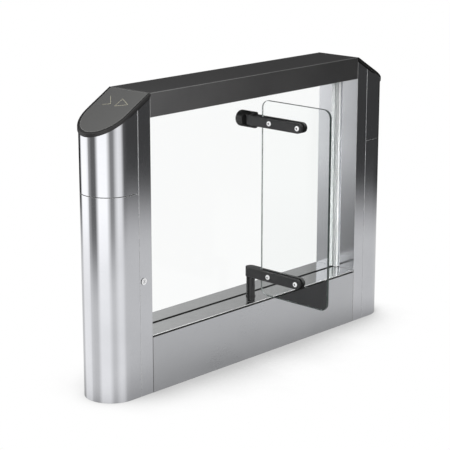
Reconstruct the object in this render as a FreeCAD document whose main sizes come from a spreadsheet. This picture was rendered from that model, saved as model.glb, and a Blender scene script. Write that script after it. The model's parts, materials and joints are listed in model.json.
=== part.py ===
"""A single-wing swing gate: a sheet metal cabinet with two posts, a rail, a sill and one glass wing.

Frame: X along the cabinet, Y across it with the wing on the -Y side, Z up, origin on the floor at the middle.
All sizes are millimetres and degrees.
"""
import FreeCAD
import Part
import Sketcher

import math
import os
import re

SIZES = {
    # Cabinet
    "total_height": 1000,
    "body_width": 184,
    "opening_width": 1042,
    "strip_width": 54,
    "cover_straight": 45,
    "sheet_wall": 2,
    "seam_gap": 2,
    "cover_split": 685,
    "tongue_reach": 15,
    "tongue_lap": 6,
    "fit_gap": 0.3,
    "seat_gap": 0.02,
    "run_gap": 0.05,
    # Slanted caps
    "cap_slope": 30.5,
    "cap_depth": 11,
    "cap_overhang": 3,
    "cap_rim": 1.8,
    "fascia_wall": 3,
    "board_recess": 5,
    "board_wall": 1.6,
    "board_margin": 22,
    # Floor plates and frame posts
    "plate_wall": 8,
    "plate_gap": 6,
    "anchor_bore": 14,
    "anchor_spacing_along": 70,
    "anchor_spacing_across": 100,
    "cable_bore": 40,
    "frame_depth": 40,
    "frame_width": 110,
    "frame_wall": 3,
    # Rail and its brackets
    "rail_height": 79,
    "rail_wall": 3,
    "bracket_height": 30,
    "bracket_wall": 6,
    "bracket_foot": 50,
    "bracket_width": 36,
    "bracket_spacing": 80,
    "bracket_screw_rise": 18,
    "rail_screw_bore": 8,
    "rail_screw_head": 14,
    "rail_screw_head_height": 6,
    "rail_screw_grip": 8,
    # Sill
    "sill_height": 199,
    "sill_lip": 5,
    "sill_gap": 2,
    "end_gap": 1,
    "tray_wall": 3,
    "strip_top": 25,
    "rib_wall": 4,
    "rib_inset": 16,
    "rib_gap": 15,
    "rib_bore": 40,
    # Fixed pane
    "pane_wall": 10,
    "pane_offset": 4,
    "pane_grip": 12,
    "gasket_wall": 2,
    "gasket_rise": 1,
    "channel_wall": 3,
    "channel_depth": 30,
    "seal_wall": 4,
    "seal_lip": 16,
    "seal_cover": 6,
    # Wing axis and leaf
    "pivot_along": -22,
    "pivot_setback": 24.6,
    "leaf_wall": 10,
    "leaf_inner": 52,
    "leaf_length": 298,
    "leaf_low_gap": 35.5,
    "leaf_high_gap": 2,
    "leaf_corner": 28,
    # Arms
    "arm_height": 35,
    "arm_wall": 36,
    "arm_reach": 238,
    "arm_neck_gap": 2,
    "pad_wall": 1,
    "upper_arm_drop": 76.5,
    "lower_arm_rise": 108.5,
    "arm_screw_inner": 96.5,
    "arm_screw_tip_inset": 17,
    "arm_screw_bore": 8,
    "arm_screw_head": 17.5,
    "arm_screw_head_height": 4,
    "arm_screw_socket": 7,
    "arm_screw_socket_depth": 2.5,
    "sleeve_bore": 12,
    # Leg, shaft and drive
    "leg_wall": 5,
    "leg_flange_wall": 2,
    "leg_flange_height": 8,
    "collar_wall": 1.5,
    "collar_height": 12,
    "shaft_diameter": 20,
    "shoulder_diameter": 26,
    "shaft_tail": 6,
    "shaft_insert": 26,
    "bearing_wall": 8.5,
    "bearing_width": 9,
    "housing_wall": 6,
    "housing_half_width": 46,
    "housing_back_gap": 3.4,
    "housing_front_gap": 1,
    "housing_foot": 14,
    "bearing_plate_wall": 12,
    "lower_plate_gap": 5,
    "upper_plate_drop": 25,
    "gear_module": 1.5,
    "gear_teeth": 24,
    "pinion_teeth": 16,
    "gear_width": 12,
    "gear_plate_gap": 2,
    "gear_hub_diameter": 30,
    "gear_hub_height": 7.7,
    "gear_backlash": 0.3,
    "pressure_angle": 20,
    "key_wall": 6,
    "motor_diameter": 32,
    "motor_head_gap": 2,
    "brake_diameter": 28,
    "brake_height": 8,
    "motor_shaft_diameter": 8,
    "motor_shaft_reach": 20,
    # Upper hinge
    "barrel_diameter": 56,
    "barrel_dome": 12,
    "fork_setback": 7,
    "clevis_gap": 0.5,
    "clevis_back_gap": 1.4,
    "pin_diameter": 10,
    "pin_inset": 0.6,
    "bush_wall": 2,
    "hinge_stud_diameter": 8,
    "hinge_stud_grip": 18,
    "hinge_stud_seat": 8,
    "hinge_seat_diameter": 16,
    "hinge_seat_wall": 10,
    "hinge_pad_wall": 1.5,
    # Cover lock
    "lock_height": 391,
    "lock_inset": 37,
    "lock_face": 23,
    "lock_face_wall": 2,
    "lock_body": 19,
    "lock_reach": 20,
    "plug_diameter": 13,
    "plug_tail": 8,
    "key_slot_length": 8,
    "key_slot_width": 1.6,
    "key_slot_depth": 3,
    "cam_wall": 2,
    "cam_width": 16,
    "cam_length": 34,
    "keeper_rise": 14,
    "keeper_height": 20,
    "keeper_wall": 2,
    "keeper_gap": 2,
    "keeper_foot": 16,
    # Boards and power supply inside the sill
    "supply_length": 120,
    "supply_width": 90,
    "supply_height": 40,
    "supply_gap": 12,
    "control_length": 150,
    "control_width": 120,
    "standoff_height": 12,
    "standoff_diameter": 8,
    "standoff_inset": 8,
}

doc = FreeCAD.newDocument("swing_gate")
sheet = doc.addObject("Spreadsheet::Sheet", "Sizes")
for row, (alias, number) in enumerate(SIZES.items(), start=1):
    sheet.set(f"A{row}", alias)
    sheet.set(f"B{row}", str(number))
    sheet.setAlias(f"B{row}", alias)
doc.recompute()

# Places worked out from the driving sizes
HALF_OPENING = "(opening_width / 2)"
HALF_WIDTH = "(body_width / 2)"
STRIP_END = "(opening_width / 2 + strip_width)"
END_CENTRE = "(opening_width / 2 + strip_width + cover_straight)"
SKIN_INSIDE = "(body_width / 2 - sheet_wall)"
RAIL_BOTTOM = "(total_height - rail_height)"
RAIL_FLOOR = "(total_height - rail_height + rail_wall)"
FRAME_TOP = "(total_height - rail_height + rail_wall + bracket_height)"
SILL_HALF_LENGTH = "(opening_width / 2 - end_gap)"
SILL_UNDERSIDE = "(sill_height - sheet_wall)"
PANE_HALF_LENGTH = "(opening_width / 2 - seal_wall)"
PANE_FRONT = "(pane_offset - pane_wall / 2)"
GASKET_HALF = "(pane_wall / 2 + gasket_wall)"
CHANNEL_HALF = "(pane_wall / 2 + gasket_wall + channel_wall)"
CHANNEL_BOTTOM = "(sill_height - sheet_wall - channel_depth)"
PANE_BOTTOM = "(sill_height - sheet_wall - channel_depth + channel_wall + gasket_wall)"
PANE_TOP = "(total_height - rail_height + pane_grip)"
LEAF_BOTTOM = "(sill_height + leaf_low_gap)"
LEAF_TOP = "(total_height - rail_height - leaf_high_gap)"
UPPER_ARM_MIDDLE = "(total_height - rail_height - upper_arm_drop)"
LOWER_ARM_MIDDLE = "(sill_height + lower_arm_rise)"
ARM_HALF = "(arm_wall / 2)"
GLASS_FACE = "(leaf_wall / 2 + pad_wall)"
COLLAR_TOP = "(sill_height + collar_height)"
LEG_BOTTOM = "(sill_height + collar_height + fit_gap)"
LEG_TOP = "(sill_height + lower_arm_rise - arm_height / 2)"
SHAFT_TOP = "(sill_height + lower_arm_rise - arm_height / 2 + shaft_insert)"
PIVOT_ACROSS = "(pivot_setback - body_width / 2)"
LOWER_PLATE = "(strip_top + lower_plate_gap)"
LOWER_PLATE_TOP = "(strip_top + lower_plate_gap + bearing_plate_wall)"
UPPER_PLATE_TOP = "(sill_height - sheet_wall - upper_plate_drop)"
UPPER_PLATE = f"({UPPER_PLATE_TOP} - bearing_plate_wall)"
LOWER_BEARING = f"({LOWER_PLATE_TOP} - bearing_width)"
UPPER_BEARING = f"({UPPER_PLATE_TOP} - bearing_width)"
GEAR_BOTTOM = f"({LOWER_PLATE_TOP} + fit_gap + gear_hub_height)"
PINION_ACROSS = f"({PIVOT_ACROSS} + gear_module * (gear_teeth + pinion_teeth) / 2)"
MOTOR_PLATE = f"({GEAR_BOTTOM} + gear_width + gear_plate_gap)"
MOTOR_BOTTOM = f"({MOTOR_PLATE} + housing_wall)"
BRAKE_BOTTOM = f"({UPPER_PLATE} - motor_head_gap - brake_height)"
BEARING_OUTER = "(shaft_diameter + 2 * bearing_wall)"
DRIVE_HALF = "(housing_half_width + housing_foot + supply_gap)"
SUPPLY_END = f"(-pivot_along + {DRIVE_HALF} + supply_length)"
CONTROL_START = f"(pivot_along + {DRIVE_HALF})"
CONTROL_END = f"({CONTROL_START} + control_length)"
INNER_RIB = f"(max({SUPPLY_END}; {CONTROL_END}) + rib_gap)"
PAD_FRONT = f"({PANE_FRONT} - hinge_pad_wall)"
BARREL_BACK = f"({PAD_FRONT} - hinge_seat_wall)"
LOCK_ALONG = "(-opening_width / 2 - lock_inset)"
KEEPER_EDGE = "(-opening_width / 2 - lock_inset + cam_width / 2 + keeper_gap)"

SIDES = (("front", -1), ("back", 1))
ALIAS_WORD = re.compile(r"\b(" + "|".join(SIZES) + r")\b")


def formula(text):
    """The same expression with every size name pointing at its cell."""
    return ALIAS_WORD.sub(r"Sizes.\1", str(text))


def value(text):
    """The number that an expression over the sizes gives."""
    result = sheet.evalExpression(formula(text))
    return float(getattr(result, "Value", result))


def bind(item, **expressions):
    """Tie properties of a document object to expressions over the sizes."""
    for path, text in expressions.items():
        item.setExpression(path.replace("__", "."), formula(text))
    return item


def place(item, x="0", y="0", z="0"):
    """Tie the position of an object to expressions over the sizes."""
    return bind(item, Placement__Base__x=x, Placement__Base__y=y, Placement__Base__z=z)


def box(name, x, y, z):
    """A block between two bounds on each axis."""
    block = doc.addObject("Part::Box", name)
    bind(block, Length=f"{x[1]} - ({x[0]})", Width=f"{y[1]} - ({y[0]})", Height=f"{z[1]} - ({z[0]})")
    return place(block, x[0], y[0], z[0])


def rod(name, diameter, start, height, axis="Z"):
    """A round bar that runs from a point along one axis."""
    bar = doc.addObject("Part::Cylinder", name)
    turns = {
        "X": FreeCAD.Rotation(FreeCAD.Vector(0, 1, 0), 90),
        "Y": FreeCAD.Rotation(FreeCAD.Vector(1, 0, 0), -90),
        "Z": FreeCAD.Rotation(),
    }
    bar.Placement = FreeCAD.Placement(FreeCAD.Vector(), turns[axis])
    bind(bar, Radius=f"({diameter}) / 2", Height=height)
    return place(bar, *start)


def fuse(name, *shapes):
    """Several solids joined into one."""
    joined = doc.addObject("Part::MultiFuse", name)
    joined.Shapes = list(shapes)
    joined.Refine = True
    return joined


def cut(name, base, *tools):
    """One solid with others taken out of it."""
    rest = doc.addObject("Part::Cut", name)
    rest.Base = base
    rest.Tool = tools[0] if len(tools) == 1 else fuse(name + "_tools", *tools)
    rest.Refine = True
    return rest


def common(name, *shapes):
    """What several solids share."""
    shared = doc.addObject("Part::MultiCommon", name)
    shared.Shapes = list(shapes)
    shared.Refine = True
    return shared


def group(name, shapes):
    """Separate solids kept together under one name."""
    together = doc.addObject("Part::Compound", name)
    together.Links = list(shapes)
    return together


def mirrored(name, source):
    """The same piece on the other side of the cabinet's middle."""
    twin = doc.addObject("Part::Mirroring", name)
    twin.Source = source
    twin.Normal = FreeCAD.Vector(1, 0, 0)
    return twin


def new_sketch(body, name, role):
    """A sketch on one of a body's own origin planes."""
    sketch = body.newObject("Sketcher::SketchObject", name)
    plane = next(item for item in body.Origin.OriginFeatures if item.Role == role)
    sketch.AttachmentSupport = [(plane, "")]
    sketch.MapMode = "FlatFace"
    return sketch


def pin_point(sketch, line, end, across, along):
    """Hold one sketch point at two expressions, measured from the sketch origin."""
    for kind, text, axis in (("DistanceX", across, -2), ("DistanceY", along, -1)):
        if text == "0":
            sketch.addConstraint(Sketcher.Constraint("PointOnObject", line, end, axis))
            continue
        index = sketch.addConstraint(Sketcher.Constraint(kind, -1, 1, line, end, value(text)))
        sketch.setExpression(f"Constraints[{index}]", formula(text))


def outline(sketch, points):
    """A closed run of straight lines through points given as expressions."""
    corners = [FreeCAD.Vector(value(across), value(along), 0) for across, along in points]
    first = sketch.GeometryCount
    for start, end in zip(corners, corners[1:] + corners[:1]):
        sketch.addGeometry(Part.LineSegment(start, end))
    for number in range(len(points)):
        following = first + (number + 1) % len(points)
        sketch.addConstraint(Sketcher.Constraint("Coincident", first + number, 2, following, 1))
    for number, (across, along) in enumerate(points):
        pin_point(sketch, first + number, 1, across, along)


def circle(sketch, diameter, across="0", along="0"):
    """A circle whose centre and size are expressions."""
    centre = FreeCAD.Vector(value(across), value(along), 0)
    ring = sketch.addGeometry(Part.Circle(centre, FreeCAD.Vector(0, 0, 1), value(diameter) / 2))
    index = sketch.addConstraint(Sketcher.Constraint("Diameter", ring, value(diameter)))
    sketch.setExpression(f"Constraints[{index}]", formula(diameter))
    pin_point(sketch, ring, 3, across, along)


def turned(name, profile):
    """A piece turned about its upright axis from a profile of radius and height."""
    body = doc.addObject("PartDesign::Body", name)
    sketch = new_sketch(body, name + "_profile", "XZ_Plane")
    outline(sketch, profile)
    doc.recompute()
    lathe = body.newObject("PartDesign::Revolution", name + "_turn")
    lathe.Profile = sketch
    lathe.ReferenceAxis = (sketch, ["V_Axis"])
    lathe.Angle = 360
    doc.recompute()
    return body


def padded(name, role, thickness, draw):
    """A flat piece: what draw puts into the sketch, raised to a thickness."""
    body = doc.addObject("PartDesign::Body", name)
    sketch = new_sketch(body, name + "_outline", role)
    draw(sketch)
    doc.recompute()
    pad = body.newObject("PartDesign::Pad", name + "_pad")
    pad.Profile = sketch
    bind(pad, Length=thickness)
    doc.recompute()
    return body


def side_bounds(sign, near, far):
    """Bounds across the cabinet, mirrored for the front side."""
    return (near, far) if sign > 0 else (f"-{far}", f"-{near}")


def centred(middle, half):
    """Bounds an equal distance either side of a middle."""
    return f"({middle} - {half})", f"({middle} + {half})"


def cap_top(along):
    """Height of the slanted cap plane at a distance from the cabinet's middle."""
    return f"(total_height - ({along} - {HALF_OPENING}) * tan(cap_slope))"


def slope_slab(name, start, end, half_width, above, below=None):
    """A slab between two depths under the slanted cap plane, or from one depth down to the floor."""
    slab = doc.addObject("Part::Wedge", name)
    slab.Placement = FreeCAD.Placement(FreeCAD.Vector(), FreeCAD.Rotation(FreeCAD.Vector(0, 0, 1), -90))
    for suffix, along in (("", start), ("2", end)):
        floor = f"{cap_top(along)} - {below}" if below else "0"
        slab.setExpression(f"Z{suffix}max", formula(f"{cap_top(along)} - {above}"))
        slab.setExpression(f"Z{suffix}min", formula(floor))
        slab.setExpression(f"X{suffix}min", formula(f"-{half_width}"))
        slab.setExpression(f"X{suffix}max", formula(half_width))
    return bind(slab, Ymin=start, Ymax=end)


def rounded_end(name, start, radius, low, high):
    """A block along the cabinet that ends in a half cylinder."""
    block = box(name + "_block", (start, END_CENTRE), (f"-{radius}", radius), (low, high))
    nose = rod(name + "_nose", f"2 * {radius}", (END_CENTRE, "0", low), f"{high} - ({low})")
    nose.Angle = 180
    nose.Placement = FreeCAD.Placement(FreeCAD.Vector(), FreeCAD.Rotation(FreeCAD.Vector(0, 0, 1), -90))
    return fuse(name, block, nose)


# Posts: skins, covers, frames and floor plates
def post_room():
    """The space under the right cap, which trims the top edges of the sheets."""
    far_end = f"({END_CENTRE} + body_width)"
    return slope_slab("right_post_room", HALF_OPENING, far_end, "body_width", "cap_depth")


def rail_screw_holes(name, length):
    """Bores for the rail screws through whatever stands at the right end of the rail."""
    start = f"({HALF_OPENING} - bracket_wall)"
    return [
        rod(f"{name}_{side}", "rail_screw_bore + 2 * fit_gap",
            (start, f"{sign} * bracket_spacing / 2", f"({RAIL_FLOOR} + bracket_screw_rise)"), length, "X")
        for side, sign in SIDES
    ]


def upright(room):
    """Inner face and side strips of the right post, with a set-in tongue behind each cover edge."""
    name = "right_upright"
    strip_edge = f"({STRIP_END} - seam_gap / 2)"
    tongue_face = f"({SKIN_INSIDE} - sheet_wall)"
    full = ("0", "total_height")
    sheets = [box(name + "_face", (HALF_OPENING, f"({HALF_OPENING} + sheet_wall)"),
                  (f"-{HALF_WIDTH}", HALF_WIDTH), full)]
    for side, sign in SIDES:
        strip = side_bounds(sign, SKIN_INSIDE, HALF_WIDTH)
        tongue = side_bounds(sign, tongue_face, SKIN_INSIDE)
        sheets.append(box(f"{name}_{side}_strip", (HALF_OPENING, strip_edge), strip, full))
        reach = (f"({strip_edge} - tongue_lap)", f"({STRIP_END} + tongue_reach)")
        sheets.append(box(f"{name}_{side}_tongue", reach, tongue, full))
    trimmed = common(name + "_trimmed", fuse(name + "_sheets", *sheets), room)
    return cut(name, trimmed, *rail_screw_holes(name + "_bore", "bracket_wall + 2 * sheet_wall"))


def cover_shell(name, low, high):
    """A round-ended sheet open towards the post."""
    start = f"({STRIP_END} + seam_gap / 2)"
    outer = rounded_end(name + "_outer", start, HALF_WIDTH, low, high)
    past_ends = (f"({low} - sheet_wall)", f"({high} + sheet_wall)")
    inner = rounded_end(name + "_inner", STRIP_END, SKIN_INSIDE, *past_ends)
    return cut(name, outer, inner)


def lower_cover():
    """Round-ended sheet from the floor to the level seam."""
    return cover_shell("right_lower_cover", "0", "(cover_split - seam_gap / 2)")


def upper_cover(room):
    """Round-ended sheet from the level seam to the slanted cap."""
    shell = cover_shell("right_upper_cover_shell", "(cover_split + seam_gap / 2)", "total_height")
    return common("right_upper_cover", shell, room)


def base_plate():
    """Floor plate with four anchor bores around a cable entry."""
    name = "right_base_plate"
    blank = rounded_end(name + "_blank", f"({HALF_OPENING} + sheet_wall)", f"({SKIN_INSIDE} - plate_gap)",
                        "0", "plate_wall")
    bores = [rod(name + "_cable_bore", "cable_bore", (END_CENTRE, "0", "0"), "plate_wall")]
    for end, along in (("near", -1), ("far", 1)):
        for side, across in SIDES:
            at = (f"({END_CENTRE} + {along} * anchor_spacing_along / 2)",
                  f"({across} * anchor_spacing_across / 2)", "0")
            bores.append(rod(f"{name}_{end}_{side}_bore", "anchor_bore", at, "plate_wall"))
    return cut(name, blank, *bores)


def frame_post():
    """Rectangular tube that carries the upright and the rail's end."""
    name = "right_frame_post"
    start = f"({HALF_OPENING} + sheet_wall)"
    end = f"({start} + frame_depth)"
    half = "(frame_width / 2)"
    tube = box(name + "_outer", (start, end), (f"-{half}", half), ("plate_wall", FRAME_TOP))
    hollow = box(name + "_hollow", (f"({start} + frame_wall)", f"({end} - frame_wall)"),
                 (f"-({half} - frame_wall)", f"({half} - frame_wall)"), ("0", "total_height"))
    bores = rail_screw_holes(name + "_bore", "bracket_wall + sheet_wall + 2 * frame_wall")
    return cut(name, tube, hollow, *bores)


# Slanted caps
def cap_housing():
    """Dark tray on top of the right post, with a shallow pocket and a recess for the board."""
    name = "right_cap_housing"
    radius = f"({HALF_WIDTH} + cap_overhang)"
    tip = f"({END_CENTRE} + {radius})"
    slab = slope_slab(name + "_slab", HALF_OPENING, tip, "body_width", "0", "cap_depth")
    plan = rounded_end(name + "_plan", HALF_OPENING, radius, "0", "2 * total_height")
    pocket_slab = slope_slab(name + "_pocket_slab", HALF_OPENING, tip, "body_width",
                             "(-cap_depth)", "fascia_wall")
    pocket_plan = rounded_end(name + "_pocket_plan", f"({HALF_OPENING} + cap_rim)", f"({radius} - cap_rim)",
                              "0", "2 * total_height")
    recess = slope_slab(name + "_recess", f"({HALF_OPENING} + board_margin)",
                        f"({END_CENTRE} + board_margin)", f"({HALF_WIDTH} - board_margin)",
                        "0", "(fascia_wall + board_recess)")
    pocket = common(name + "_pocket", pocket_slab, pocket_plan)
    return cut(name, common(name + "_body", slab, plan), pocket, recess)


def cap_fascia():
    """Glossy panel that lies in the cap's pocket."""
    name = "right_cap_fascia"
    radius = f"({HALF_WIDTH} + cap_overhang)"
    tip = f"({END_CENTRE} + {radius})"
    slab = slope_slab(name + "_slab", HALF_OPENING, tip, "body_width", "0", "fascia_wall")
    plan = rounded_end(name + "_plan", f"({HALF_OPENING} + cap_rim + fit_gap)",
                       f"({radius} - cap_rim - fit_gap)", "0", "2 * total_height")
    return common(name, slab, plan)


def indicator_board():
    """Lamp and reader board on the floor of the right cap's recess."""
    return slope_slab("right_indicator_board", f"({HALF_OPENING} + board_margin + fit_gap)",
                      f"({END_CENTRE} + board_margin - fit_gap)", f"({HALF_WIDTH} - board_margin - fit_gap)",
                      "(fascia_wall + board_recess - board_wall)", "(fascia_wall + board_recess)")


# Rail between the posts
def top_rail():
    """Box rail with a slot underneath for the pane's top edge."""
    name = "top_rail"
    ends = (f"-{HALF_OPENING}", HALF_OPENING)
    past_ends = (f"-{END_CENTRE}", END_CENTRE)
    outer = box(name + "_outer", ends, (f"-{HALF_WIDTH}", HALF_WIDTH), (RAIL_BOTTOM, "total_height"))
    half = f"({HALF_WIDTH} - rail_wall)"
    hollow = box(name + "_hollow", past_ends, (f"-{half}", half), (RAIL_FLOOR, "(total_height - rail_wall)"))
    slot = box(name + "_slot", past_ends, centred("pane_offset", f"({GASKET_HALF} + fit_gap)"),
               (f"({RAIL_BOTTOM} - rail_wall)", f"({RAIL_FLOOR} + rail_wall)"))
    return cut(name, outer, hollow, slot)


def rail_brackets():
    """Four angles that stand on the rail's floor and bolt to the frame posts."""
    pieces = []
    for side, sign in SIDES:
        name = f"right_{side}_rail_bracket"
        across = centred(f"({sign} * bracket_spacing / 2)", "bracket_width / 2")
        plate = box(name + "_plate", (f"({HALF_OPENING} - bracket_wall)", HALF_OPENING), across,
                    (RAIL_FLOOR, FRAME_TOP))
        foot = box(name + "_foot", (f"({HALF_OPENING} - bracket_foot)", HALF_OPENING), across,
                   (RAIL_FLOOR, f"({RAIL_FLOOR} + bracket_wall)"))
        bore = rod(name + "_bore", "rail_screw_bore + 2 * fit_gap",
                   (f"({HALF_OPENING} - bracket_foot)", f"{sign} * bracket_spacing / 2",
                    f"({RAIL_FLOOR} + bracket_screw_rise)"), "2 * bracket_foot", "X")
        angle = cut(name, fuse(name + "_angle", plate, foot), bore)
        pieces += [angle, mirrored(f"left_{side}_rail_bracket", angle)]
    return group("rail_brackets", pieces)


def rail_screws():
    """Screws through the rail brackets, the uprights and the frame posts."""
    pieces = []
    for side, sign in SIDES:
        name = f"right_{side}_rail_screw"
        across = f"{sign} * bracket_spacing / 2"
        height = f"({RAIL_FLOOR} + bracket_screw_rise)"
        face = f"({HALF_OPENING} - bracket_wall)"
        shank = rod(name + "_shank", "rail_screw_bore", (face, across, height),
                    "bracket_wall + sheet_wall + frame_wall + rail_screw_grip", "X")
        head = rod(name + "_head", "rail_screw_head", (f"({face} - rail_screw_head_height)", across, height),
                   "rail_screw_head_height", "X")
        screw = fuse(name, shank, head)
        pieces += [screw, mirrored(f"left_{side}_rail_screw", screw)]
    return group("rail_screws", pieces)


# Sill
def sill_tray():
    """Flat floor plate of the sill."""
    return box("sill_tray", (f"-{SILL_HALF_LENGTH}", SILL_HALF_LENGTH), (f"-{SKIN_INSIDE}", SKIN_INSIDE),
               ("0", "tray_wall"))


def panel_strips():
    """Two strips that stand on the floor plate and hold the feet of the side sheets."""
    along = (f"-{SILL_HALF_LENGTH}", SILL_HALF_LENGTH)
    return group("panel_strips", [
        box(f"{side}_panel_strip", along, side_bounds(sign, f"({SKIN_INSIDE} - sheet_wall)", SKIN_INSIDE),
            ("tray_wall", "strip_top"))
        for side, sign in SIDES
    ])


def side_panels():
    """Flat side sheets that stop short of the folded edge above."""
    along = (f"-{SILL_HALF_LENGTH}", SILL_HALF_LENGTH)
    upright_range = ("0", "(sill_height - sill_lip - sill_gap)")
    return [box(f"{side}_panel", along, side_bounds(sign, SKIN_INSIDE, HALF_WIDTH), upright_range)
            for side, sign in SIDES]


def sill_tops():
    """Polished plates either side of the pane, each with a folded outer edge; the shaft passes the front."""
    along = (f"-{SILL_HALF_LENGTH}", SILL_HALF_LENGTH)
    plates = []
    for side, sign in SIDES:
        name = f"{side}_sill_top"
        inner = f"({sign} * pane_offset + {GASKET_HALF} + fit_gap)"
        plate = box(name + "_plate", along, side_bounds(sign, inner, HALF_WIDTH),
                    (SILL_UNDERSIDE, "sill_height"))
        lip = box(name + "_lip", along, side_bounds(sign, SKIN_INSIDE, HALF_WIDTH),
                  ("(sill_height - sill_lip)", "sill_height"))
        if sign > 0:
            plates.append(fuse(name, plate, lip))
            continue
        bore = rod(name + "_bore", "shoulder_diameter + 4 * fit_gap",
                   ("pivot_along", PIVOT_ACROSS, SILL_UNDERSIDE), "sheet_wall")
        plates.append(cut(name, fuse(name + "_blank", plate, lip), bore))
    return plates


def sill_ribs():
    """Four cross ribs that carry the sill tops and the pane channel."""
    width = f"({SKIN_INSIDE} - sheet_wall)"
    outer = f"({SILL_HALF_LENGTH} - rib_inset)"
    pieces = []
    for label, along in (("outer", outer), ("inner", INNER_RIB)):
        name = f"right_{label}_rib"
        plate = box(name + "_plate", centred(along, "rib_wall / 2"), (f"-{width}", width),
                    ("tray_wall", SILL_UNDERSIDE))
        notch = box(name + "_notch", centred(along, "rib_wall"), centred("pane_offset", CHANNEL_HALF),
                    (CHANNEL_BOTTOM, "sill_height"))
        bores = [
            rod(f"{name}_{side}_bore", "rib_bore",
                (f"({along} - rib_wall)", f"{sign} * {width} / 2", "sill_height / 2"), "2 * rib_wall", "X")
            for side, sign in SIDES
        ]
        rib = cut(name, plate, notch, *bores)
        pieces += [rib, mirrored(f"left_{label}_rib", rib)]
    return group("sill_ribs", pieces)


# Fixed pane and its edges
def pane_channel():
    """U channel in the ribs that holds the pane's lower edge."""
    name = "pane_channel"
    along = (f"-{SILL_HALF_LENGTH}", SILL_HALF_LENGTH)
    outer = box(name + "_outer", along, centred("pane_offset", CHANNEL_HALF),
                (CHANNEL_BOTTOM, SILL_UNDERSIDE))
    slot = box(name + "_slot", (f"-{END_CENTRE}", END_CENTRE), centred("pane_offset", GASKET_HALF),
               (f"({CHANNEL_BOTTOM} + channel_wall)", "total_height"))
    return cut(name, outer, slot)


def fixed_pane():
    """Glass between sill and rail."""
    along = (f"-{PANE_HALF_LENGTH}", PANE_HALF_LENGTH)
    return box("fixed_pane", along, centred("pane_offset", "pane_wall / 2"), (PANE_BOTTOM, PANE_TOP))


def pane_gasket(name, low, high):
    """A strip along one edge of the pane, grooved for the glass."""
    along = (f"-{PANE_HALF_LENGTH}", PANE_HALF_LENGTH)
    strip = box(name + "_strip", along, centred("pane_offset", GASKET_HALF), (low, high))
    groove = box(name + "_groove", (f"-{END_CENTRE}", END_CENTRE), centred("pane_offset", "pane_wall / 2"),
                 (PANE_BOTTOM, PANE_TOP))
    return cut(name, strip, groove)


def pane_bottom_gasket():
    """Rubber strip in the channel, just proud of the sill."""
    channel_floor = f"({CHANNEL_BOTTOM} + channel_wall)"
    return pane_gasket("pane_bottom_gasket", channel_floor, "(sill_height + gasket_rise)")


def pane_top_gasket():
    """Rubber strip in the rail's slot."""
    return pane_gasket("pane_top_gasket", f"({RAIL_BOTTOM} - gasket_rise)", f"({PANE_TOP} + gasket_wall)")


def pane_side_seals():
    """Upright channels on the posts with lips over the pane's ends, between the two gaskets."""
    name = "right_side_seal"
    inner = f"({PANE_HALF_LENGTH} - seal_cover)"
    height = ("(sill_height + gasket_rise)", f"({RAIL_BOTTOM} - gasket_rise)")
    lips = centred("pane_offset", "(pane_wall / 2 + seal_lip)")
    strip = box(name + "_strip", (inner, HALF_OPENING), lips, height)
    groove = box(name + "_groove", (inner, PANE_HALF_LENGTH), centred("pane_offset", "pane_wall / 2"), height)
    seal = cut(name, strip, groove)
    return group("pane_side_seals", [seal, mirrored("left_side_seal", seal)])


# Upper hinge
def hinge_body():
    """Round barrel behind the wing, forked at the front and domed at the back."""
    name = "hinge_body"
    radius = "(barrel_diameter / 2)"
    fork_centre = f"({PIVOT_ACROSS} + fork_setback)"
    front = f"({fork_centre} - {radius})"
    barrel = rod(name + "_barrel", "barrel_diameter", ("pivot_along", front, UPPER_ARM_MIDDLE),
                 f"{BARREL_BACK} - {front}", "Y")
    doc.recompute()
    back = value(BARREL_BACK)
    rim = next(number for number, edge in enumerate(barrel.Shape.Edges, start=1)
               if abs(edge.BoundBox.YMin - back) + abs(edge.BoundBox.YMax - back) < value("fit_gap"))
    domed = doc.addObject("Part::Fillet", name + "_domed")
    domed.Base = barrel
    domed.Edges = [(rim, value("barrel_dome"), value("barrel_dome"))]
    low = f"({UPPER_ARM_MIDDLE} - barrel_diameter)"
    nose = rod(name + "_nose", "barrel_diameter", ("pivot_along", fork_centre, low), "2 * barrel_diameter")
    rear = box(name + "_rear", centred("pivot_along", radius), (fork_centre, BARREL_BACK),
               (low, f"({low} + 2 * barrel_diameter)"))
    rounded = common(name + "_rounded", domed, fuse(name + "_plan", nose, rear))
    slot = box(name + "_slot", centred("pivot_along", "barrel_diameter"),
               (f"({front} - barrel_diameter)", f"({PIVOT_ACROSS} + {ARM_HALF} + clevis_back_gap)"),
               centred(UPPER_ARM_MIDDLE, "(arm_height / 2 + clevis_gap)"))
    pin_bore = rod(name + "_pin_bore", "pin_diameter + 2 * seat_gap", ("pivot_along", PIVOT_ACROSS, low),
                   "2 * barrel_diameter")
    stud_bore = rod(name + "_stud_bore", "hinge_stud_diameter + 2 * seat_gap",
                    ("pivot_along", f"({BARREL_BACK} - hinge_stud_grip)", UPPER_ARM_MIDDLE),
                    "hinge_stud_grip", "Y")
    return cut(name, rounded, slot, pin_bore, stud_bore)


def hinge_pin():
    """Upright pin through the fork."""
    reach = "(barrel_diameter / 2 - pin_inset)"
    foot = f"({UPPER_ARM_MIDDLE} - {reach})"
    return rod("hinge_pin", "pin_diameter", ("pivot_along", PIVOT_ACROSS, foot), f"2 * {reach}")


def hinge_pad():
    """Bonding pad between the pane and the hinge seat."""
    at = ("pivot_along", PAD_FRONT, UPPER_ARM_MIDDLE)
    return rod("hinge_pad", "hinge_seat_diameter", at, "hinge_pad_wall", "Y")


def hinge_seat():
    """Round foot bonded to the pane, bored for the stud."""
    at = ("pivot_along", BARREL_BACK, UPPER_ARM_MIDDLE)
    foot = rod("hinge_seat_foot", "hinge_seat_diameter", at, "hinge_seat_wall", "Y")
    bore = rod("hinge_seat_bore", "hinge_stud_diameter + 2 * seat_gap", at, "hinge_stud_seat", "Y")
    return cut("hinge_seat", foot, bore)


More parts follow.
